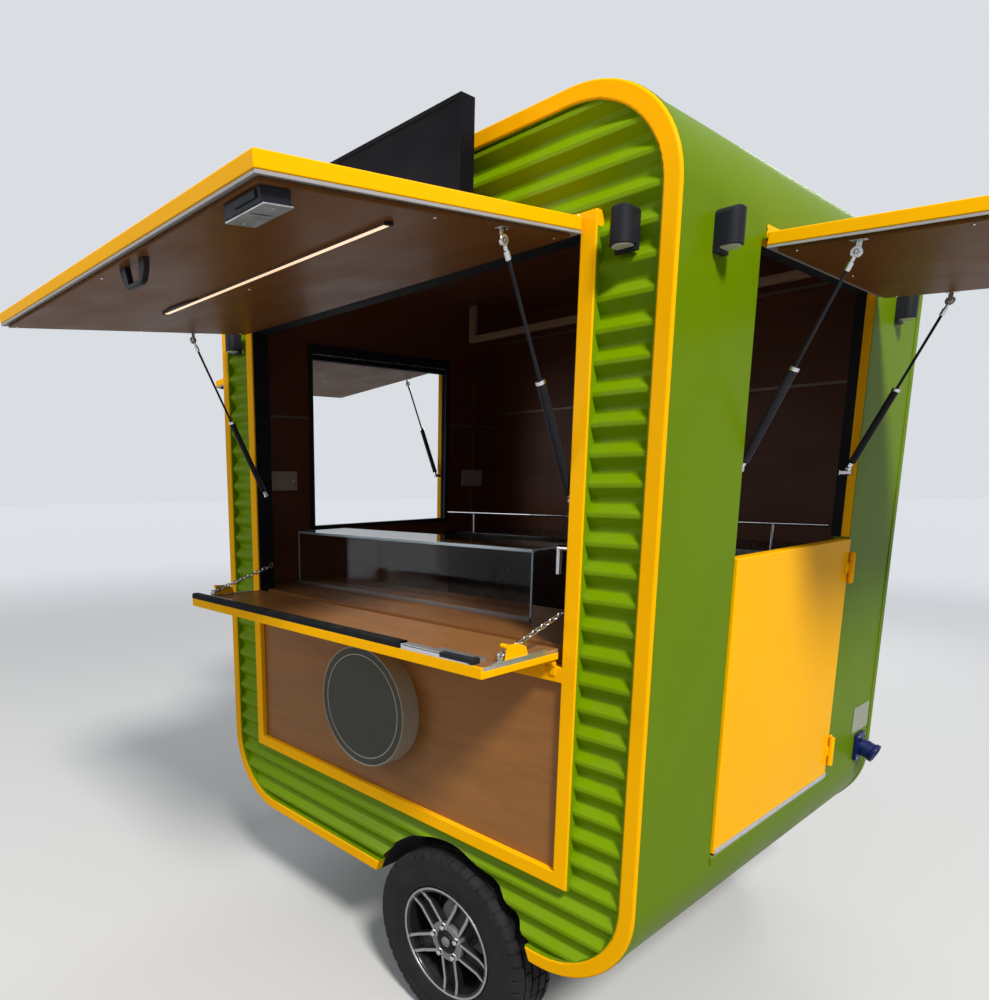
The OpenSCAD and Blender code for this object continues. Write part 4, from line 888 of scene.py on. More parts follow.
class KIOSK_OT_trims(KioskPiece, Operator):
    """Builds the yellow edge trims and the serving frame"""
    bl_idname = "kiosk.trims"
    bl_label = "Trims and Frame"

    def build(self, sizes):
        trims = smooth(from_node("yellow_edge_trims", "edge_trims"), 40)
        inside = min(abs(vertex.co.x) for vertex in trims.data.vertices
                     if abs(vertex.co.z - TOP_Z + sizes.corner) < 0.004)
        deliver(trims, "yellow_paint", finish="yellow_trim", nodes=("edge_trims",))
        self.lips(sizes, END_X - inside)
        refine("serving_frame", "serving_frame_bars", "yellow_paint", 0.003, 3)
        low, high = FRAME
        front, back, thick = low.y + 0.005, high.y - 0.0005, 0.0014
        fillers = [slab("filler", (low.x, front, low.z - thick), (high.x, back, low.z + 0.0005))]
        for x in (low.x - thick, high.x - 0.0005):
            fillers.append(slab("filler", (x, front, low.z - thick),
                                (x + thick + 0.0005, back, OPEN_TOP)))
        deliver(joined_soft("frame_fillers", fillers, 0.0004), "lime_cladding")
        refine("lower_panel", "lower_panel_board", "brown_laminate", 0.0015)

    def lips(self, sizes, width):
        """Green strips along the trims' inner sides, where the sheets end."""
        rings = []
        for y0, y1 in ((FACE_Y + 0.003, WALL_Y), (BACK_Y, 2 * MID_Y - FACE_Y - 0.003)):
            ring, hole = [
                rounded_box("sheet_lip", (into - END_X, y0 - more, BASE_Z + into),
                            (END_X - into, y1 + more, TOP_Z - into),
                            "Y", sizes.corner - into)
                for into, more in ((width - 0.0005, 0.0), (width + 0.0012, 0.01))]
            cut(ring, hole, arch_tool(ARCH_R - 0.001, y0 - 0.01, y1 + 0.01))
            rings.append(soften(ring, 0.0004, 2, 50))
        deliver(joined("sheet_lips", rings), "lime_cladding")


class KIOSK_OT_signs(KioskPiece, Operator):
    """Builds the bare round sign and the bare board sign"""
    bl_idname = "kiosk.signs"
    bl_label = "Signs"

    def build(self, sizes):
        low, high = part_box("round_sign")
        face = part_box("round_sign_face")
        radius = (high.x - low.x) / 2
        place = facing(((low.x + high.x) / 2, high.y, (low.z + high.z) / 2), (0, -1, 0))
        depth = high.y - low.y
        bed = high.y - face[1].y
        drum = lathe("round_sign_drum", [
            (0, 0), (radius, 0), (radius, depth - 0.003), (radius - 0.001, depth - 0.001),
            (radius - 0.003, depth), (radius - 0.005, depth - 0.001),
            (radius - 0.006, depth - 0.003), (radius - 0.006, bed - 0.0005), (0, bed - 0.0005)],
            place, steps=128)
        deliver(smooth(drum), "sign_grey", nodes=("round_sign",))
        inner = radius - 0.0064
        plate = lathe("round_sign_plate", [
            (0, bed), (inner, bed), (inner, bed + 0.003), (inner - 0.001, bed + 0.004),
            (0, bed + 0.004)], place, steps=128)
        deliver(smooth(plate), "sign_black", nodes=("round_sign_face",))
        line = lathe("round_sign_line", [
            (inner - 0.0225, bed + 0.0035), (inner - 0.0195, bed + 0.0035),
            (inner - 0.0198, bed + 0.0046), (inner - 0.0222, bed + 0.0046)], place, steps=128)
        deliver(smooth(line), "sign_grey", finish="sign_line")
        refine("sign_board", "board_sign_case", "sign_black", 0.0015, finish="sign_board_black")


def hatch(name, node, place, half, reach, leaf, sizes):
    """An open hatch: yellow skin over a bare metal lip, its hinge barrel and wall leaf."""
    turned = drooped(place)
    low = -sizes.hatch_thick
    seam = low + sizes.hatch_lip
    skin = block(name + "_skin", (-half, -reach, seam), (half, 0.0035, 0), 0.003, 3)
    settle(skin, turned)
    inner = half - 0.016
    barrel = rod(name + "_barrel", (-inner, 0.007, -0.0035), (inner, 0.007, -0.0035), 0.007, 24)
    plate = slab(name + "_leaf", (-inner, 0.012, -0.0035), (inner, 0.014, leaf))
    for piece in (barrel, plate):
        soften(piece, 0.0008)
        settle(piece, place)
    deliver(joined(name + "_skin", [skin, barrel, plate]), "yellow_paint", nodes=(node,))
    lip = slab(name + "_lip", (-half + 0.001, -reach + 0.001, low), (half - 0.001, 0.0025, seam))
    inset(lip, (0, 0, -1), (0.0145, -0.004))
    soften(lip, 0.001)
    settle(lip, turned)
    deliver(lip, "aluminium", finish="lip_grey")
    margin = 0.0165
    board = block(name + "_lining", (-half + margin, -reach + margin, low - HATCH_BOARD),
                  (half - margin, -margin, low + 0.003), 0.0012)
    settle(board, turned)
    holes = [(x, y, low - HATCH_BOARD) for x in (-half + 0.035, 0, half - 0.035)
             for y in (-reach + 0.035, -reach * 0.5, -0.05)]
    heads = settle(screws(name + "_screws", holes, (0, 0, -1), 0.004), turned)
    across = [(inner * (step / 3 - 1), 0.012, leaf / 2 + 0.001) for step in range(7)]
    pins = settle(screws(name + "_leaf_screws", across, (0, -1, 0), 0.0028), place)
    deliver(joined(name + "_screws", [heads, pins]), "stainless")
    return board


class KIOSK_OT_hatches(KioskPiece, Operator):
    """Builds the serving hatch and the two end hatches with their linings"""
    bl_idname = "kiosk.hatches"
    bl_label = "Hatches"

    def build(self, sizes):
        end_half = (SILL[1].y - SILL[0].y) / 2 - DOOR_GAP
        boards = [
            hatch("front_hatch", "serving_hatch", serving_frame_place(), OPEN_HALF + 0.01,
                  sizes.serving_reach, 0.012, sizes),
            hatch("door_hatch", "side_hatch", end_frame_place(1), end_half,
                  sizes.end_reach, 0.022, sizes),
            hatch("far_hatch", "window_hatch", end_frame_place(-1), end_half,
                  sizes.end_reach, 0.022, sizes),
        ]
        deliver(joined("hatch_boards", boards), "brown_panel", nodes=("hatch_linings",))
        # Places on the serving hatch: along its hinge, and in from its free edge
        turned = drooped(serving_frame_place())
        under = -sizes.hatch_thick - HATCH_BOARD
        self.handle(turned, under, 0.15, 0.045 - sizes.serving_reach)
        self.latch(turned, under, 0.612, 0.055 - sizes.serving_reach)
        self.light(turned, under, 0.13, 0.362 - sizes.serving_reach)

    def handle(self, turned, under, x, y):
        """The black pull handle that hangs near the free edge: two legs and a grip."""
        bow = prism("hatch_handle", [
            (-0.062, 0.0), (-0.062, 0.006), (0.062, 0.006), (0.062, 0.0), (0.058, -0.022),
            (0.044, -0.042), (0.030, -0.048), (-0.030, -0.048), (-0.044, -0.042),
            (-0.058, -0.022)], 0.014, Matrix.Translation((x, y + 0.007, under)) @ QUARTER_X)
        gap = prism("gap", [(-0.034, 0.0), (-0.024, -0.038), (0.024, -0.038), (0.034, 0.0)], 0.04,
                    Matrix.Translation((x, y + 0.02, under)) @ QUARTER_X)
        cut(bow, gap)
        deliver(settle(soften(bow, 0.0035, 4, 30), turned), "black_plastic")
        heads = screws("hatch_handle_screws",
                       [(x + dx, y, under + 0.0005) for dx in (-0.045, 0.045)],
                       (0, 0, -1), 0.003)
        deliver(settle(heads, turned), "stainless")

    def latch(self, turned, under, x, y):
        """The latch by the free corner: black case, bright cover plate and bolt. The case fills
        the dark patch by the corner, partly the latch body and partly painted shade.
        """
        # The black case reaches over the shade beside the latch: partly the body, partly painted
        # shade.
        case = slab("hatch_latch_case", (x - 0.056, y - 0.032, under - 0.026),
                    (x + 0.056, y + 0.028, under + 0.001))
        nose = slab("nose", (x - 0.02, y - 0.036, under - 0.017),
                    (x + 0.045, y - 0.028, under - 0.004))
        pieces = [soften(case, 0.0025, 3), soften(nose, 0.002, 3)]
        deliver(settle(joined("hatch_latch_case", pieces), turned), "black_metal")
        deep = under - 0.0284
        cover = slab("hatch_latch_cover", (x - 0.058, y - 0.030, deep),
                     (x + 0.058, y + 0.030, deep + 0.003))
        cut(cover,
            slab("slot", (x + 0.002, y - 0.022, deep - 0.01), (x + 0.010, y + 0.022, deep + 0.01)))
        heads = screws("screws", [(x + dx, y, deep) for dx in (-0.044, 0.044)], (0, 0, -1), 0.003)
        pieces = [soften(cover, 0.0008), heads]
        deliver(settle(joined("hatch_latch_cover", pieces), turned), "zinc_steel")

    def light(self, turned, under, x, y):
        """The warm light strip in its channel, with a flat black wedge beside one end."""
        turned = turned @ Matrix.Translation((x, y, 0))
        channel = slab("light_channel", (-0.47, -0.008, under - 0.006),
                       (0.47, 0.008, under + 0.0005))
        inset(channel, (0, 0, -1), (0.002, -0.002))
        deliver(settle(soften(channel, 0.0008), turned), "aluminium", finish="seam_strip")
        strip = slab("light_strip", (-0.466, -0.0064, under - 0.0066),
                     (0.466, 0.0064, under - 0.0036))
        deliver(settle(soften(strip, 0.0010, 3), turned), "lamp_lens", finish="led_strip")
        caps = [slab("cap", (end - 0.004, -0.009, under - 0.0072),
                     (end + 0.004, 0.009, under + 0.0005))
                for end in (-0.47, 0.47)]
        # A flat black wedge beside one end of the strip.
        dark_wedge = prism("dark_wedge", [
            (-0.470, -0.0082), (-0.40, -0.022), (-0.31, -0.020), (-0.26, -0.0082)], 0.005,
            Matrix.Translation((0, 0, under - 0.0045)))
        deliver(settle(joined_soft("light_caps", caps + [dark_wedge], 0.001), turned), "black_plastic")


def strut(low, high, share, body_r, rod_r):
    """A gas strut between two joints: its dark parts, and its bright collar and ends. The rod is
    black with the tube, a painted dark reflection where a real rod is bright chrome.
    """
    low, high = Vector(low), Vector(high)
    along = high - low
    place = facing(low, along)
    long = along.length
    mid = long * share
    wide = body_r + 0.0015
    dark = lathe("strut", [
        (0, 0.018), (body_r * 0.8, 0.018), (body_r, 0.0205), (body_r, mid - 0.008),
        (body_r, mid + 0.001), (body_r * 0.7, mid + 0.003), (rod_r, mid + 0.0035),
        (rod_r, long - 0.03), (0, long - 0.03)], place, 32)
    collar = lathe("strut", [
        (body_r * 0.9, mid - 0.007), (wide - 0.0006, mid - 0.007), (wide, mid - 0.0064),
        (wide, mid + 0.0014), (wide - 0.0006, mid + 0.002), (body_r * 0.9, mid + 0.002)],
        place, 32)
    foot = lathe("strut", [
        (0, 0.002), (0.0062, 0.002), (0.0062, 0.022), (0.005, 0.0235), (0, 0.0235)], place, 20)
    neck = lathe("strut", [
        (0, long - 0.040), (0.0055, long - 0.040), (0.0064, long - 0.038),
        (0.0064, long - 0.022), (0.0045, long - 0.020), (0.0042, long - 0.010),
        (0, long - 0.010)], place, 20)
    eye = lathe("strut", [
        (0.0062, -0.0032), (0.0112, -0.0032), (0.0122, -0.0022), (0.0122, 0.0022),
        (0.0112, 0.0032), (0.0062, 0.0032)], facing(high, (1, 0, 0)), 32)
    bright = [collar, foot, neck, eye, ball("strut", low, 0.0088)]
    for piece in [dark] + bright:
        smooth(piece)
    return dark, bright


class KIOSK_OT_struts(KioskPiece, Operator):
    """Builds the six gas struts with their joints and brackets"""
    bl_idname = "kiosk.struts"
    bl_label = "Gas Struts"

    def build(self, sizes):
        front = OPEN_HALF - SEAL
        end = (SILL[1].y - SILL[0].y) / 2
        dark, bright = [], []
        for place, jamb, gap, reach, low in (
                (serving_frame_place(), front, 0.012, 0.24, (0.048, -0.623)),
                (end_frame_place(1), end, 0.028, 0.178, (0.031, -0.542)),
                (end_frame_place(-1), end, 0.028, 0.178, (0.031, -0.542))):
            for side in (-1, 1):
                tube, ends = self.side(place, side, jamb - gap, jamb, reach, low, sizes)
                dark.append(tube)
                bright += ends
        # The rods go black with the cylinders: a painted dark reflection on what is bright chrome.
        deliver(joined("strut_cylinders", dark), "black_metal", nodes=("gas_struts",))
        deliver(joined("strut_fittings", bright), "stainless")

    def side(self, place, side, half, jamb, reach, low, sizes):
        """One strut of a hatch with its bracket on the lining and its foot on the jamb."""
        deep = sizes.hatch_thick + HATCH_BOARD + 0.024
        x = side * half
        droop = Matrix.Rotation(sizes.droop, 4, "X")
        tube, bright = strut((x, *low), droop @ Vector((x, -reach, -deep)), 0.5, 0.01, 0.0038)
        plate = slab("bracket", (x - 0.009, -reach - 0.016, -deep + 0.0222),
                     (x + 0.009, -reach + 0.016, -deep + 0.024))
        cheek = slab("bracket", (x - 0.0062, -reach - 0.006, -deep - 0.006),
                     (x - 0.0042, -reach + 0.006, -deep + 0.023))
        if side < 0:
            flipped(plate, x)
            flipped(cheek, x)
        pin = rod("bracket", (x - side * 0.0075, -reach, -deep),
                  (x + side * 0.0042, -reach, -deep), 0.0036, 20)
        bolts = screws("bracket",
                       [(x, -reach - 0.0115, -deep + 0.0222),
                        (x, -reach + 0.0115, -deep + 0.0222)],
                       (0, 0, -1), 0.0026)
        for piece in (plate, cheek, pin):
            soften(piece, 0.001)
        for piece in (plate, cheek, pin, bolts):
            settle(piece, droop)
        inner, outer = sorted((x, side * jamb))
        foot = block("bracket", (inner, low[0] - 0.006, low[1] - 0.006),
                     (outer, low[0] + 0.006, low[1] + 0.006), 0.0015)
        bright += [plate, cheek, pin, bolts, foot]
        for piece in [tube] + bright:
            settle(piece, place)
        return tube, bright


class KIOSK_OT_half_door(KioskPiece, Operator):
    """Builds the half-door, its hinges, sill and drip strip"""
    bl_idname = "kiosk.half_door"
    bl_label = "Half-Door"

    def build(self, sizes):
        low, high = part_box("half_door")
        face = END_X + DOOR_GAP
        board = 0.005
        inside = face - 0.04
        y1 = SILL[1].y - DOOR_GAP
        door = block("half_door_panel", (inside + board, low.y, low.z),
                     (face + 0.0004, y1, high.z), 0.0035, 3)
        leaves = from_node("half_door_leaves", "half_door")
        keep = slab("keep", (face + 0.0001, low.y, low.z), (face + 0.06, SILL[1].y + 0.06, high.z))
        cut(leaves, keep, operation="INTERSECT")
        soften(leaves, 0.0008)
        deliver(joined("half_door_panel", [door, leaves]), "yellow_paint", "half_door",
                ("half_door",))
        back = block("half_door_lining", (inside, low.y + 0.004, low.z + 0.004),
                     (inside + board, y1 - 0.004, high.z - 0.004), 0.001)
        deliver(back, "brown_panel", "half_door", finish="brown_lining")
        strip = block("half_door_drip", (face, low.y + 0.002, low.z + 0.001),
                      (face + 0.003, y1 - 0.002, low.z + 0.016), 0.0012)
        deliver(strip, "aluminium", "half_door")
        spots = [(face + 0.003, low.y + 0.03 + (y1 - low.y - 0.06) * step / 6, low.z + 0.0115)
                 for step in range(7)]
        deliver(screws("half_door_screws", spots, (1, 0, 0), 0.0032), "stainless", "half_door")
        refine("door_hinges", "door_hinge_leaves", "yellow_paint", 0.0008)
        refine("door_sill", "door_sill_strip", "aluminium", 0.0008)
        low, high = SILL
        apron = block("sill_apron", (high.x - 0.0015, low.y - 0.001, low.z - 0.001),
                      (high.x + 0.0015, high.y + 0.001, high.z - 0.0015), 0.0008)
        deliver(apron, "lime_shell")


class KIOSK_OT_flap(KioskPiece, Operator):
    """Builds the fold-down counter flap with its edging, seal, latches, hinges and chains"""
    bl_idname = "kiosk.flap"
    bl_label = "Counter Flap"

    def build(self, sizes):
        low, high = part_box("counter_flap")
        top, rear = high.z, high.y - 0.002
        bottom = top - sizes.flap_thick
        seam = bottom + sizes.flap_edging
        edging = slab("flap_edging", (low.x, low.y + 0.0035, bottom - 0.0008),
                      (high.x, rear, seam))
        strip = slab("flap_edging", (low.x + 0.0003, low.y, bottom - 0.0006),
                     (high.x - 0.0003, low.y + 0.0075, top))
        edging = joined("flap_edging", [soften(edging, 0.0018, 3), soften(strip, 0.0018, 3)])
        knuckles = from_node("flap_knuckles", "counter_flap")
        cut(knuckles,
            slab("keep", (low.x - 0.01, low.y, low.z - 0.01),
                 (high.x + 0.01, high.y + 0.01, bottom - 0.0003)),
            operation="INTERSECT")
        soften(knuckles, 0.0008)
        deliver(joined("flap_edging", [edging, knuckles]), "yellow_paint", "counter_flap",
                ("counter_flap",))
        band = slab("flap_metal_edge", (low.x + 0.0006, low.y + 0.007, seam - 0.0005),
                    (high.x - 0.0006, rear, top))
        inset(band, (0, 0, 1), (0.0035, -0.0025))
        deliver(soften(band, 0.0009), "aluminium", "counter_flap")
        board = block("flap_board", (low.x + 0.0045, low.y + 0.0045, top - 0.0035),
                      (high.x - 0.0045, rear - 0.0004, top - 0.0002), 0.0008)
        deliver(board, "brown_panel", "counter_flap", finish="flap_laminate")
        self.seal()
        self.latches(high, top)
        refine("flap_hinges", "flap_hinge_blocks", "yellow_paint", 0.0008)
        chain = smooth(from_node("flap_chain_links", "flap_chains"), 50)
        deliver(chain, "stainless", nodes=("flap_chains",))
        chain.parent = None
        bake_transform(chain)

    def seal(self):
        """The rubber seal with its upper edges rounded and its ends hollow."""
        low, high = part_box("flap_seal")
        seal = slab("flap_seal_profile", low, high)
        pick(seal, "EDGE",
             lambda spot, way: abs(way.x) > STRAIGHT and spot.z > (low.z + high.z) / 2)
        bpy.ops.mesh.bevel(offset=0.0075, segments=6, affect="EDGES")
        pick(seal, "FACE", lambda spot, normal: abs(normal.x) > ALONG)
        bpy.ops.mesh.inset(thickness=0.003, depth=-0.012)
        bpy.ops.object.mode_set(mode="OBJECT")
        deliver(soften(seal, 0.0006), "black_rubber", "counter_flap", ("flap_seal",))

    def latches(self, high, top):
        """The latch bar, the plates behind it, the end strips and the chain eyes."""
        plates = soften(from_node("flap_latch_plates", "flap_latches"), 0.0009)
        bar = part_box("flap_latches")
        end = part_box("flap_seal")[1].x
        x0, x1 = end + 0.004, end + 0.234
        y0 = bar[0].y
        inlay = slab("latch_inlay", (x0 + 0.13, y0 - 0.0004, top + 0.003),
                     (x1 - 0.002, y0 + 0.02, top + 0.0146))
        groove = slab("latch_groove", (x0 + 0.004, y0 - 0.0003, top + 0.0098),
                      (x0 + 0.14, y0 + 0.004, top + 0.0124))
        nose = slab("latch_nose", (x1 - 0.012, y0 - 0.0006, top + 0.001),
                    (x1 + 0.001, y0 + 0.027, top + 0.0152))
        heads = []
        dark = [soften(inlay, 0.0012), soften(groove, 0.0006), soften(nose, 0.0012)]
        hooks = []
        for side in (-1, 1):
            middle = side * (x0 + 0.149)
            heads += [(middle + dx, y0 + 0.0465, top + 0.007) for dx in (-0.058, 0.058)]
            hooks.append(self.hook(side, high.x - 0.0055, y0 + 0.088, top + 0.002))
            edge = side * (high.x - 0.004)
            heads += [(edge, y0 + 0.07 + step * 0.055, top + 0.003) for step in range(4)]
        points = screws("latch_screws", heads, (0, 0, 1), 0.0026)
        deliver(joined("flap_latch_plates", [plates, points]), "aluminium", "counter_flap",
                ("flap_latches",))
        deliver(joined("flap_latch_inlays", dark), "black_metal", "counter_flap")
        deliver(joined("flap_hooks", hooks), "yellow_paint", "counter_flap")

    def hook(self, side, x, y, top):
        """A bent plate that stands by a chain's eye, its free edge rolled."""
        plate = prism("flap_hook", [
            (0.0, 0.0), (0.086, 0.0), (0.078, 0.022), (0.050, 0.034), (0.008, 0.036)], 0.003,
            Matrix.Translation((side * x - 0.0015, y, top - 0.0005)) @ QUARTER_Z @ QUARTER_X)
        roll = lathe("flap_hook", [
            (0.0030, -0.0085), (0.0058, -0.0085), (0.0058, 0.0085), (0.0030, 0.0085)],
            facing((side * x - side * 0.0065, y + 0.006, top + 0.032), (1, 0, 0)), 28)
        return joined("flap_hook", [soften(plate, 0.0008), smooth(roll, 40)])


def tyre_outline(width):
    """A tyre's section as (radius, height): from one bead over the tread to the other."""
    half, outer = width / 2, TYRE_R
    side = [
        (0.160, half - 0.032), (0.1615, half - 0.0165), (0.1700, half - 0.0145),
        (0.1745, half - 0.0120), (0.1775, half - 0.0070), (0.1815, half - 0.0050),
        (0.1860, half - 0.0066), (0.1940, half - 0.0028), (0.2060, half - 0.0004),
        (0.2200, half), (0.2340, half - 0.0002), (0.2420, half - 0.0022),
        (0.2445, half - 0.0004), (0.2480, half - 0.0008), (0.2560, half - 0.0006),
        (0.2640, half - 0.0006), (0.2716, half - 0.0024), (0.2782, half - 0.0068),
        (0.2828, half - 0.0136), (0.2846, half - 0.0210)]
    tread = [(outer, half - 0.026)]
    for middle in (0.0491, 0.0164):
        tread += [(outer, middle + 0.0041), (outer - 0.0070, middle + 0.0032),
                  (outer - 0.0070, middle - 0.0032), (outer, middle - 0.0041)]
    upper = side + tread
    return upper + [(radius, -height) for radius, height in reversed(upper)]


class KIOSK_OT_wheels(KioskPiece, Operator):
    """Builds both road wheels: treaded tyres on black rims with bright edges"""
    bl_idname = "kiosk.wheels"
    bl_label = "Wheels"

    def build(self, sizes):
        for body, side in (("front_wheel", -1), ("rear_wheel", 1)):
            name = body.split("_")[0]
            self.tyre(name, body, side)
            self.rim(name, body, side, sizes)

    def tyre(self, name, body, side):
        """A tyre with three grooves, shoulder blocks and sipes in its tread."""
        width = TYRE[1].y - TYRE[0].y
        place = wheel_place(side) @ Matrix.Translation((0, 0, -width / 2))
        steps = 180
        tyre = lathe(name + "_tyre_tread", tyre_outline(width), steps=steps)
        turn = math.tau / steps

        def column(spot, shift):
            angle = math.atan2(spot.y, spot.x) % math.tau
            return int(angle / turn) + (shift if spot.z > 0 else 0)

        def block_gap(spot, normal):
            shoulder = math.hypot(spot.x, spot.y) > 0.267 and abs(spot.z) > 0.053
            return shoulder and column(spot, 2) % 4 == 0

        def sipe(spot, normal):
            crown = math.hypot(spot.x, spot.y) > TYRE_R - 0.001 and abs(spot.z) < 0.046
            return crown and column(spot, 3) % 6 == 0

        for test, wide, deep in ((block_gap, 0.0014, 0.0055), (sipe, 0.0028, 0.0045)):
            pick(tyre, "FACE", test)
            bpy.ops.mesh.inset(thickness=wide, depth=-deep, use_boundary=True)
            bpy.ops.object.mode_set(mode="OBJECT")
        deliver(smooth(settle(tyre, place), 32), "tyre_rubber", body, (name + "_tyre",))

    def turned(self, wheel, part, outline, steps, finish=None, slot="rim_alloy", angle=40,
               nodes=()):
        """Delivers a part of a wheel that is spun round its axle."""
        name, body, place = wheel
        piece = lathe(f"{name}_{part}", outline, place, steps)
        deliver(smooth(piece, angle), slot, body, nodes, finish)

    def rim(self, name, body, side, sizes):
        """The black barrel with its bright lip, and what the rim carries."""
        wheel = (name, body, wheel_place(side))
        self.turned(wheel, "rim_barrel", [
            (0.1690, -0.0139), (0.1640, -0.0100), (0.1580, -0.0112), (0.1526, -0.0200),
            (0.1520, -0.0620), (0.1440, -0.0800), (0.1440, -0.1400), (0.1520, -0.1580),
            (0.1580, -0.1668), (0.1700, -0.1678), (0.1715, -0.1620), (0.1600, -0.1610),
            (0.1520, -0.1420), (0.1520, -0.0800), (0.1600, -0.0600), (0.1600, -0.0150)],
            96, "rim_black", nodes=(name + "_rim",))
        self.turned(wheel, "rim_lip", [
            (0.1638, -0.0105), (0.1645, -0.0082), (0.1665, -0.0072), (0.1700, -0.0070),
            (0.1716, -0.0082), (0.1720, -0.0110), (0.1708, -0.0139), (0.1650, -0.0139)],
            96, angle=50)
        self.spokes(wheel, sizes)
        self.hub(wheel, sizes)

    def spokes(self, wheel, sizes):
        """Double spokes: bright faces on black bars with a channel between them."""
        name, body, place = wheel
        inner, outer, gap, half = 0.050, 0.1560, 0.025, 0.0065
        web = prism("spoke_web", [(inner, -gap), (outer, -gap), (outer, gap), (inner, gap)],
                    0.0105,
                    Matrix.Translation((0, 0, -0.044)))
        cut(web, slab("groove", (inner + 0.012, -0.0105, -0.0365), (outer - 0.016, 0.0105, -0.03)))
        black, bright = [web], []
        for sign in (-1, 1):
            sides = [sign * gap - half, sign * gap + half]
            bar = prism("spoke_bar", [
                (inner, sides[0]), (outer, sides[0]), (outer, sides[1]), (inner, sides[1])],
                0.0232, Matrix.Translation((0, 0, -0.044)))
            sides = [sides[0] + 0.002, sides[1] - 0.002]
            lip = outer + 0.0076
            face = prism("spoke_face", [
                (inner + 0.003, sides[0]), (lip, sides[0]), (lip, sides[1]),
                (inner + 0.003, sides[1])], 0.0014, Matrix.Translation((0, 0, -0.0214)))
            for piece, rise in ((bar, 0.0085), (face, 0.0108)):
                with editing(piece):
                    bpy.ops.mesh.bisect(plane_co=(outer - 0.03, 0, 0), plane_no=(1, 0, 0))
                pick(piece, "VERT", lambda spot, normal: spot.x > outer - 0.01 and spot.z > -0.03)
                bpy.ops.transform.translate(value=(0, 0, rise))
                bpy.ops.object.mode_set(mode="OBJECT")
            black.append(bar)
            bright.append(soften(face, 0.0005))
        bars = soften(joined("spoke", black), 0.0015, 3)
        faces = joined("spoke_face", bright)
        angles = [sizes.wheel_turn + math.tau * index / sizes.spokes
                  for index in range(sizes.spokes)]
        turns = [place @ Matrix.Rotation(angle, 4, "Z") for angle in angles]
        deliver(repeated(name + "_spokes", bars, turns), "rim_alloy", body, finish="rim_black")
        deliver(repeated(name + "_spoke_faces", faces, turns), "rim_alloy", body)

    def hub(self, wheel, sizes):
        """The hub disc, its cap, the lug bolts and the brake drum behind them."""
        name, body, place = wheel
        self.turned(wheel, "hub_disc", [
            (0, -0.1075), (0.050, -0.1075), (0.052, -0.060), (0.060, -0.044), (0.062, -0.0400),
            (0.062, -0.0232), (0.0608, -0.0208), (0.0580, -0.0198), (0.0380, -0.0205),
            (0.0345, -0.0240), (0, -0.0240)], 72, "hub_silver")
        self.turned(wheel, "cap_ring", [
            (0, -0.0235), (0.0345, -0.0235), (0.0338, -0.0170), (0.0318, -0.0150),
            (0.0285, -0.0152), (0.0250, -0.0190), (0, -0.0195)], 64, slot="black_plastic")
        self.turned(wheel, "cap_centre", [
            (0, -0.0200), (0.0165, -0.0196), (0.0155, -0.0150), (0.0120, -0.0124),
            (0.0050, -0.0112), (0, -0.0110)], 48, "hub_silver")
        lug = lathe("lug", [
            (0, 0), (0.0115, 0), (0.0115, 0.0025), (0.0092, 0.0040), (0.0092, 0.0120),
            (0.0076, 0.0146), (0.0040, 0.0156), (0, 0.0158)], steps=6)
        circle, seat, spots = 0.049, -0.0208, []
        for index in range(sizes.spokes):
            angle = sizes.wheel_turn + math.tau * (index + 0.5) / sizes.spokes
            spots.append(place @ Matrix.Translation(
                (circle * math.cos(angle), circle * math.sin(angle), seat)))
        deliver(smooth(repeated(name + "_lug_bolts", lug, spots), 25), "stainless", body)
        self.turned(wheel, "brake_drum", [
            (0, -0.1140), (0.088, -0.1140), (0.098, -0.1150), (0.105, -0.1200), (0.105, -0.1400),
            (0.1425, -0.1420), (0.1430, -0.1450), (0, -0.1450)], 72, slot="black_plastic")


class KIOSK_OT_chassis(KioskPiece, Operator):
    """Builds the chassis, axle, drawbar, coupling and wheel arches"""
    bl_idname = "kiosk.chassis"
    bl_label = "Chassis"

    def build(self, sizes):
        refine("chassis_frame", "chassis_sections", "zinc_steel", 0.004, 3)
        refine("axle", "axle_beam", "zinc_steel", 0.003, 3)
        refine("drawbar", "drawbar_sections", "zinc_steel", 0.003, 3)
        refine("tow_coupling", "coupling_head", "zinc_steel", 0.003, 3)
        refine("wheel_arches", "arch_liners", "black_plastic", 0.0015)


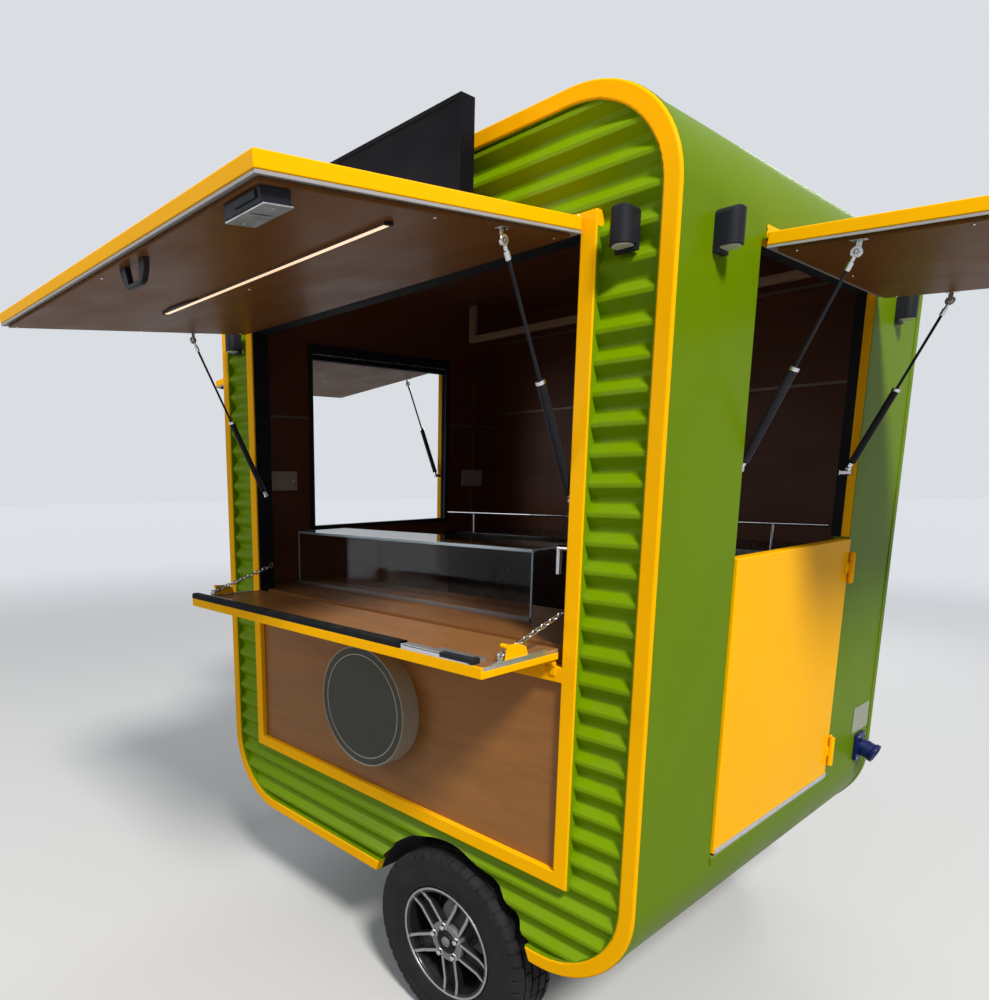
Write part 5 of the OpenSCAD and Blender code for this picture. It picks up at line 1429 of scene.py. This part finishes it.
class KIOSK_OT_inside(KioskPiece, Operator):
    """Builds the lining, counters, rack, rail, sockets, glass case and floor"""
    bl_idname = "kiosk.inside"
    bl_label = "Inside"

    def build(self, sizes):
        refine("interior_lining", "wall_lining", "brown_panel", 0.001, finish="brown_lining")
        refine("front_counter", "serving_counter", "brown_panel", 0.003)
        refine("rear_counter", "rear_worktop", "black_plastic", 0.003, finish="worktop_black")
        refine("ceiling_rack", "hanging_rack", "rack_taupe", 0.003)
        refine("counter_rail", "worktop_rail", "stainless", 0.001)
        refine("counter_tap", "tap_body", "stainless", 0.0012)
        refine("floor_board", "floor_sheet", "floor_grey", 0.001)
        refine("opening_seals", "opening_gaskets", "black_rubber", 0.0015)
        nodes = ("front_wall_sides", "front_wall_top", "front_wall_bottom", "rear_wall")
        walls = soften(from_node("face_walls", *nodes), 0.001)
        deliver(walls, "brown_panel", finish="brown_lining", nodes=nodes)
        self.case()
        self.sockets()
        self.seams()

    def case(self):
        """The glass display case: its sheets, their polished edges and the rail at its foot. The
        edges' pale blue is partly the glass's own tint and partly a painted highlight.
        """
        low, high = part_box("glass_case")
        rail = 0.008
        glass = from_node("case_glass", "glass_case")
        cut(glass,
            slab("rail", (low.x - 0.1, low.y - 0.1, low.z - 0.1),
                 (high.x + 0.1, low.y + rail, high.z)))
        deliver(soften(glass, 0.0008), "clear_glass", nodes=("glass_case",))
        y, t = low.y + rail, 0.0045
        # Opaque pale blue strips along the case's top and ends: partly the glass edges, partly a
        # painted highlight.
        edges = [slab("edge", (low.x, y - 0.0003, high.z - 0.009),
                      (high.x, y + 0.018, high.z + 0.0003))]
        for x in (low.x - 0.0003, high.x + 0.0003 - t):
            edges.append(slab("edge", (x, y - 0.0003, low.z + 0.0002), (x + t, y + t, high.z)))
            edges.append(slab("edge", (x, y, high.z - t), (x + t, high.y, high.z + 0.0003)))
        deliver(joined_soft("case_edges", edges, 0.001), "clear_glass", finish="glass_edge_and_highlight")
        foot = block("case_foot_rail", (low.x, low.y, low.z),
                     (high.x, low.y + rail, low.z + 0.014), 0.0012)
        deliver(foot, "rack_taupe", finish="case_foot")

    def sockets(self):
        """Two blank socket covers, each with a raised rim and two screws."""
        low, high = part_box("socket_plates")
        plates, heads = [], []
        for y0, y1 in ((low.y, low.y + 0.15), (high.y - 0.15, high.y)):
            plate = slab("socket", (low.x, y0, low.z), (high.x - 0.002, y1, high.z))
            inset(plate, (1, 0, 0), (0.006, 0.0018), (0.005, -0.0008))
            plates.append(soften(plate, 0.0012, 3))
            heads += [(high.x - 0.001, y, (low.z + high.z) / 2) for y in (y0 + 0.018, y1 - 0.018)]
        deliver(joined("socket_covers", plates), "socket_plastic", nodes=("socket_plates",))
        deliver(screws("socket_screws", heads, (1, 0, 0), 0.0035), "stainless")

    def seams(self):
        """Thin cover strips over the joints of the lining boards."""
        end = LINED_X
        y0, y1 = LINING_Y, 2 * MID_Y - LINING_Y
        thick, half = 0.0015, 0.005
        level, upper = 1.965, 2.38
        foot, head = 1.445, 2.285
        strips = []
        for side in (-1, 1):
            ends = sorted((side * end, side * (end - thick)))
            for span in ((y0, SILL[0].y), (SILL[1].y, y1)):
                strips.append(slab("seam", (ends[0], span[0], level - half),
                                   (ends[1], span[1], level + half)))
            strips.append(slab("seam", (ends[0], y1 - 0.19, foot), (ends[1], y1 - 0.18, head)))
        for x in (-0.3, 0.35):
            strips.append(slab("seam", (x - half, y1 - thick, foot), (x + half, y1, upper)))
        for z in (2.03, upper):
            strips.append(slab("seam", (-end, y1 - thick, z - half), (end, y1, z + half)))
        deliver(joined_soft("lining_seams", strips, 0.0005), "aluminium", finish="seam_strip")


class KIOSK_OT_openings(KioskPiece, Operator):
    """Builds the strips on the jambs of the doorway and the frame of the far window"""
    bl_idname = "kiosk.openings"
    bl_label = "Opening Strips"

    def build(self, sizes):
        low_z, high_z = WINDOW_Z, OPEN_TOP
        y0, y1 = SILL[0].y, SILL[1].y
        rubber = SEALS[1].x
        strips = []
        for side in (-1, 1):
            ends = sorted((side * (rubber + 0.0005), side * (END_X - 0.0015)))
            for y in (y0, y1 - 0.0012):
                strips.append(slab("strip", (ends[0], y, low_z), (ends[1], y + 0.0012, high_z)))
            strips.append(slab("strip", (ends[0], y0, high_z - 0.0012), (ends[1], y1, high_z)))
        deliver(joined_soft("jamb_strips", strips, 0.0004), "yellow_paint")
        inner = -LINED_X
        ring = slab("window_frame", (inner - 0.004, y0 - 0.016, low_z - 0.01),
                    (inner + 0.006, y1 + 0.016, high_z + 0.016))
        cut(ring,
            slab("hole", (inner - 0.1, y0 + 0.006, low_z + 0.006),
                 (inner + 0.1, y1 - 0.006, high_z - 0.012)))
        deliver(soften(ring, 0.0018), "black_metal")
        # The bright strip below the window's head is a painted highlight on the head bar; the
        # lower one is a strip along the sill.
        head = high_z - 0.024
        lines = [slab("line", (inner - 0.001, y0 + 0.008, head - 0.002),
                      (inner + 0.0012, y1 - 0.008, head + 0.002)),
                 slab("line", (inner - 0.002, y0 + 0.008, low_z + 0.0052),
                      (inner + 0.008, y1 - 0.008, low_z + 0.0072))]
        deliver(joined_soft("window_lines", lines, 0.0008), "aluminium")
        keep = slab("door_keep", (END_X - 0.045, y1 - 0.014, 1.70),
                    (END_X - 0.012, y1 - 0.0035, 1.716))
        inset(keep, (0, -1, 0), (0.003, -0.003))
        deliver(soften(keep, 0.001), "stainless")


class KIOSK_OT_lamps(KioskPiece, Operator):
    """Builds the four wall lamps with their pale lenses"""
    bl_idname = "kiosk.lamps"
    bl_label = "Wall Lamps"

    def build(self, sizes):
        whole = from_node("lamp_shades", "wall_lamps")
        with editing(whole):
            bpy.ops.mesh.separate(type="LOOSE")
        lamps = [self.rounded(lamp) for lamp in list(bpy.context.selected_objects)]
        shades = soften(joined("lamp_shades", lamps), 0.0018, 3, 50)
        deliver(shades, "black_metal", nodes=("wall_lamps",))
        refine("lamp_lenses", "lamp_glasses", "lamp_lens", 0.0015, 3)

    def rounded(self, lamp):
        """A wall lamp with its top rounded towards its front and sides."""
        spots = [vertex.co for vertex in lamp.data.vertices]
        low = Vector([min(spot[i] for spot in spots) for i in range(3)])
        high = Vector([max(spot[i] for spot in spots) for i in range(3)])
        out = 0 if high.x > END_X + 0.03 else 1
        wall = low.x if out == 0 else high.y
        tool = slab("round", low, high)
        crown, cheek = 0.022, 0.014

        def top(spot, way):
            return spot.z > high.z - 0.001 and abs(way[out]) > ALONG

        def rim(spot, way):
            front = abs(spot[out] - wall) > 0.02 and spot.z > high.z - crown - 0.002
            return front and abs(way[out]) < 0.1 and abs(way.z) < 0.98

        round_edges(tool, top, crown, 10)
        round_edges(tool, rim, cheek, 6)
        return cut(lamp, tool, operation="INTERSECT")


class KIOSK_OT_inlet(KioskPiece, Operator):
    """Builds the blue power inlet beside the half-door"""
    bl_idname = "kiosk.inlet"
    bl_label = "Power Inlet"

    def build(self, sizes):
        low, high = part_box("power_inlet")
        y = (low.y + high.y) / 2
        z = low.z + 0.05
        flange = rounded_box("inlet_flange", (END_X, y - 0.042, z - 0.05),
                             (END_X + 0.012, y + 0.042, z + 0.05),
                             "X", 0.012, 5)
        soften(flange, 0.002, 3)
        tilt = math.radians(110)
        axis = Vector((math.sin(tilt), 0, math.cos(tilt)))
        root = Vector((END_X + 0.008, y, z))
        place = facing(root, axis)
        spout = lathe("inlet_spout", [
            (0, 0), (0.030, 0), (0.030, 0.040), (0.0335, 0.0425), (0.034, 0.045),
            (0.034, 0.0535), (0.0328, 0.0555), (0.0270, 0.0555), (0.0260, 0.0535),
            (0.0260, 0.022), (0, 0.022)], place, 48)
        bead = lathe("inlet_bead", [
            (0.0295, 0.017), (0.0318, 0.018), (0.0318, 0.023), (0.0295, 0.024)], place, 48)
        body = [flange, smooth(spout), smooth(bead)]
        deliver(joined("inlet_body", body), "inlet_blue", nodes=("power_inlet",))
        pins = [rod("pin", root + axis * 0.020 + Vector((0, dy, 0)),
                    root + axis * 0.046 + Vector((0, dy, 0)), 0.003, 16)
                for dy in (-0.011, 0, 0.011)]
        heads = [(END_X + 0.012, y + dy, z + dz) for dy in (-0.032, 0.032) for dz in (-0.04, 0.04)]
        heads += [(END_X + 0.002, y + dy, high.z - 0.048 + dz) for dy in (-0.07, 0.07)
                  for dz in (-0.038, 0.038)]
        pins = [soften(pin, 0.001) for pin in pins] + [screws("heads", heads, (1, 0, 0), 0.0035)]
        deliver(joined("inlet_pins", pins), "stainless")
        plate = block("inlet_plate", (END_X, low.y, high.z - 0.096),
                      (END_X + 0.002, high.y, high.z), 0.0006)
        deliver(plate, "aluminium", finish="inlet_plate_clear")


BACKDROP = (0.70, 0.73, 0.77, 1)
SKY = (0.42, 0.44, 0.47, 1)  # what lights the kiosk from all sides
FLOOR_LIT = (0.26, 0.26, 0.25, 1)  # what the floor throws back at the kiosk
FLOOR_SEEN = (0.60, 0.60, 0.60, 1)
BLACK = (0, 0, 0, 1)
FLOOR_R = 60
FADE = (3.0, 15.0)  # where the floor starts and ends to run into the backdrop
AIM = Vector((0, MID_Y, 1.2))
# name, place, size, power, colour
LAMPS = (
    ("key", (8.0, -4.6, 10.2), 2.4, 1950, (1.0, 0.97, 0.92)),
    ("front_fill", (-4.5, -6.0, 3.2), 4.0, 95, (0.95, 0.97, 1.0)),
    ("rear_fill", (-2.2, 7.8, 4.5), 3.0, 170, (0.96, 0.98, 1.0)),
)

# The camera, as fitted to the photograph
EYE = Vector((1.7025, -1.9502, 1.7101))
YAW, PITCH, ROLL = 0.8986, 0.1781, -0.0138
SENSOR = 36
FOCAL = 0.7332  # in picture widths
SHIFT = (0.1636, 0.111)


class KIOSK_OT_stage(KioskPiece, Operator):
    """Builds the floor, the soft studio light and the camera"""
    bl_idname = "kiosk.stage"
    bl_label = "Stage"

    def build(self, sizes):
        self.floor()
        self.light()
        self.camera()
        bpy.context.scene.view_settings.view_transform = "Standard"

    def seen(self, net):
        """1 for the rays that show the backdrop: straight, glossy and through glass."""
        path = net.add("ShaderNodeLightPath")
        return net.math("MAXIMUM", path.outputs["Is Camera Ray"],
                        net.math("MAXIMUM", path.outputs["Is Glossy Ray"],
                                 path.outputs["Is Transmission Ray"]))

    def floor(self):
        """A pale floor that runs into the backdrop with no horizon."""
        only()
        bpy.ops.mesh.primitive_circle_add(vertices=96, radius=FLOOR_R, fill_type="NGON")
        ground = named("studio_floor")
        material = bpy.data.materials.new("studio_floor")
        material.use_nodes = True
        net = Net(material.node_tree)
        shader = material.node_tree.nodes["Principled BSDF"]
        shader.inputs["Roughness"].default_value = 0.9
        shader.inputs["Specular IOR Level"].default_value = 0.1
        shader.inputs["Emission Color"].default_value = BACKDROP
        where = net.add("ShaderNodeTexCoord").outputs["Object"]
        far = net.add("ShaderNodeVectorMath", {0: where}, operation="LENGTH").outputs["Value"]
        fade = net.add("ShaderNodeMapRange", {0: far, 1: FADE[0], 2: FADE[1], 3: 0.0, 4: 1.0},
                       interpolation_type="SMOOTHERSTEP").outputs[0]
        seen = self.seen(net)
        away = net.math("MULTIPLY", seen, fade)
        near = net.blend(seen, FLOOR_LIT, FLOOR_SEEN)
        net.tree.links.new(net.blend(away, near, BLACK), shader.inputs["Base Color"])
        net.tree.links.new(away, shader.inputs["Emission Strength"])
        ground.data.materials.append(material)

    def light(self):
        """The even light of the world and the round area lamps."""
        world = bpy.data.worlds.new("studio")
        world.use_nodes = True
        bpy.context.scene.world = world
        net = Net(world.node_tree)
        back = world.node_tree.nodes["Background"]
        net.tree.links.new(net.blend(self.seen(net), SKY, BACKDROP), back.inputs["Color"])
        back.inputs["Strength"].default_value = 1.0
        for name, spot, size, power, color in LAMPS:
            only()
            bpy.ops.object.light_add(type="AREA", location=spot)
            lamp = bpy.context.object
            lamp.name = lamp.data.name = "studio_" + name
            lamp.data.shape = "DISK"
            lamp.data.size = size
            lamp.data.energy = power
            lamp.data.color = color
            lamp.rotation_euler = (AIM - Vector(spot)).to_track_quat("-Z", "Y").to_euler()

    def camera(self):
        """The camera, turned by the fitted angles."""
        level = Vector((-math.sin(YAW), math.cos(YAW), 0)) * math.cos(PITCH)
        look = level - Vector((0, 0, math.sin(PITCH)))
        right = look.cross(Vector((0, 0, 1))).normalized()
        up = right.cross(look)
        across = right * math.cos(ROLL) + up * math.sin(ROLL)
        upward = -right * math.sin(ROLL) + up * math.cos(ROLL)
        only()
        bpy.ops.object.camera_add(location=EYE)
        camera = bpy.context.object
        camera.name = camera.data.name = "kiosk_camera"
        turn = Matrix((across, upward, -look)).transposed().to_4x4()
        camera.matrix_world = Matrix.Translation(EYE) @ turn
        camera.data.sensor_width = SENSOR
        camera.data.lens = SENSOR * FOCAL
        camera.data.shift_x, camera.data.shift_y = SHIFT
        camera.data.clip_start = 0.01
        bpy.context.scene.camera = camera


OPERATORS = (KIOSK_OT_finishes, KIOSK_OT_stage, KIOSK_OT_shell, KIOSK_OT_cladding, KIOSK_OT_trims,
             KIOSK_OT_signs, KIOSK_OT_hatches, KIOSK_OT_struts, KIOSK_OT_half_door, KIOSK_OT_flap,
             KIOSK_OT_wheels, KIOSK_OT_chassis, KIOSK_OT_inside, KIOSK_OT_openings, KIOSK_OT_lamps,
             KIOSK_OT_inlet)


class KIOSK_PT_pieces(Panel):
    """Lists the kiosk's pieces and its sizes and colours"""
    bl_idname = "KIOSK_PT_pieces"
    bl_label = "Street Kiosk"
    bl_space_type = "VIEW_3D"
    bl_region_type = "UI"
    bl_category = "Kiosk"

    def draw(self, context):
        layout = self.layout
        for group in (context.scene.kiosk_sizes, context.scene.kiosk_colours):
            column = layout.column(align=True)
            for label in group.bl_rna.properties.keys():
                if label not in {"rna_type", "name"}:
                    column.prop(group, label)
        for operator in OPERATORS:
            layout.operator(operator.bl_idname)


CLASSES = (KioskSizes, KioskColours, *OPERATORS, KIOSK_PT_pieces)


def register():
    for cls in CLASSES:
        bpy.utils.register_class(cls)
    bpy.types.Scene.kiosk_sizes = PointerProperty(type=KioskSizes)
    bpy.types.Scene.kiosk_colours = PointerProperty(type=KioskColours)


def unregister():
    del bpy.types.Scene.kiosk_colours
    del bpy.types.Scene.kiosk_sizes
    for cls in reversed(CLASSES):
        bpy.utils.unregister_class(cls)


def main():
    """Builds every piece in order."""
    register()
    for operator in OPERATORS:
        group, name = operator.bl_idname.split(".")
        getattr(getattr(bpy.ops, group), name)()
    only()


if __name__ == "__main__":
    main()
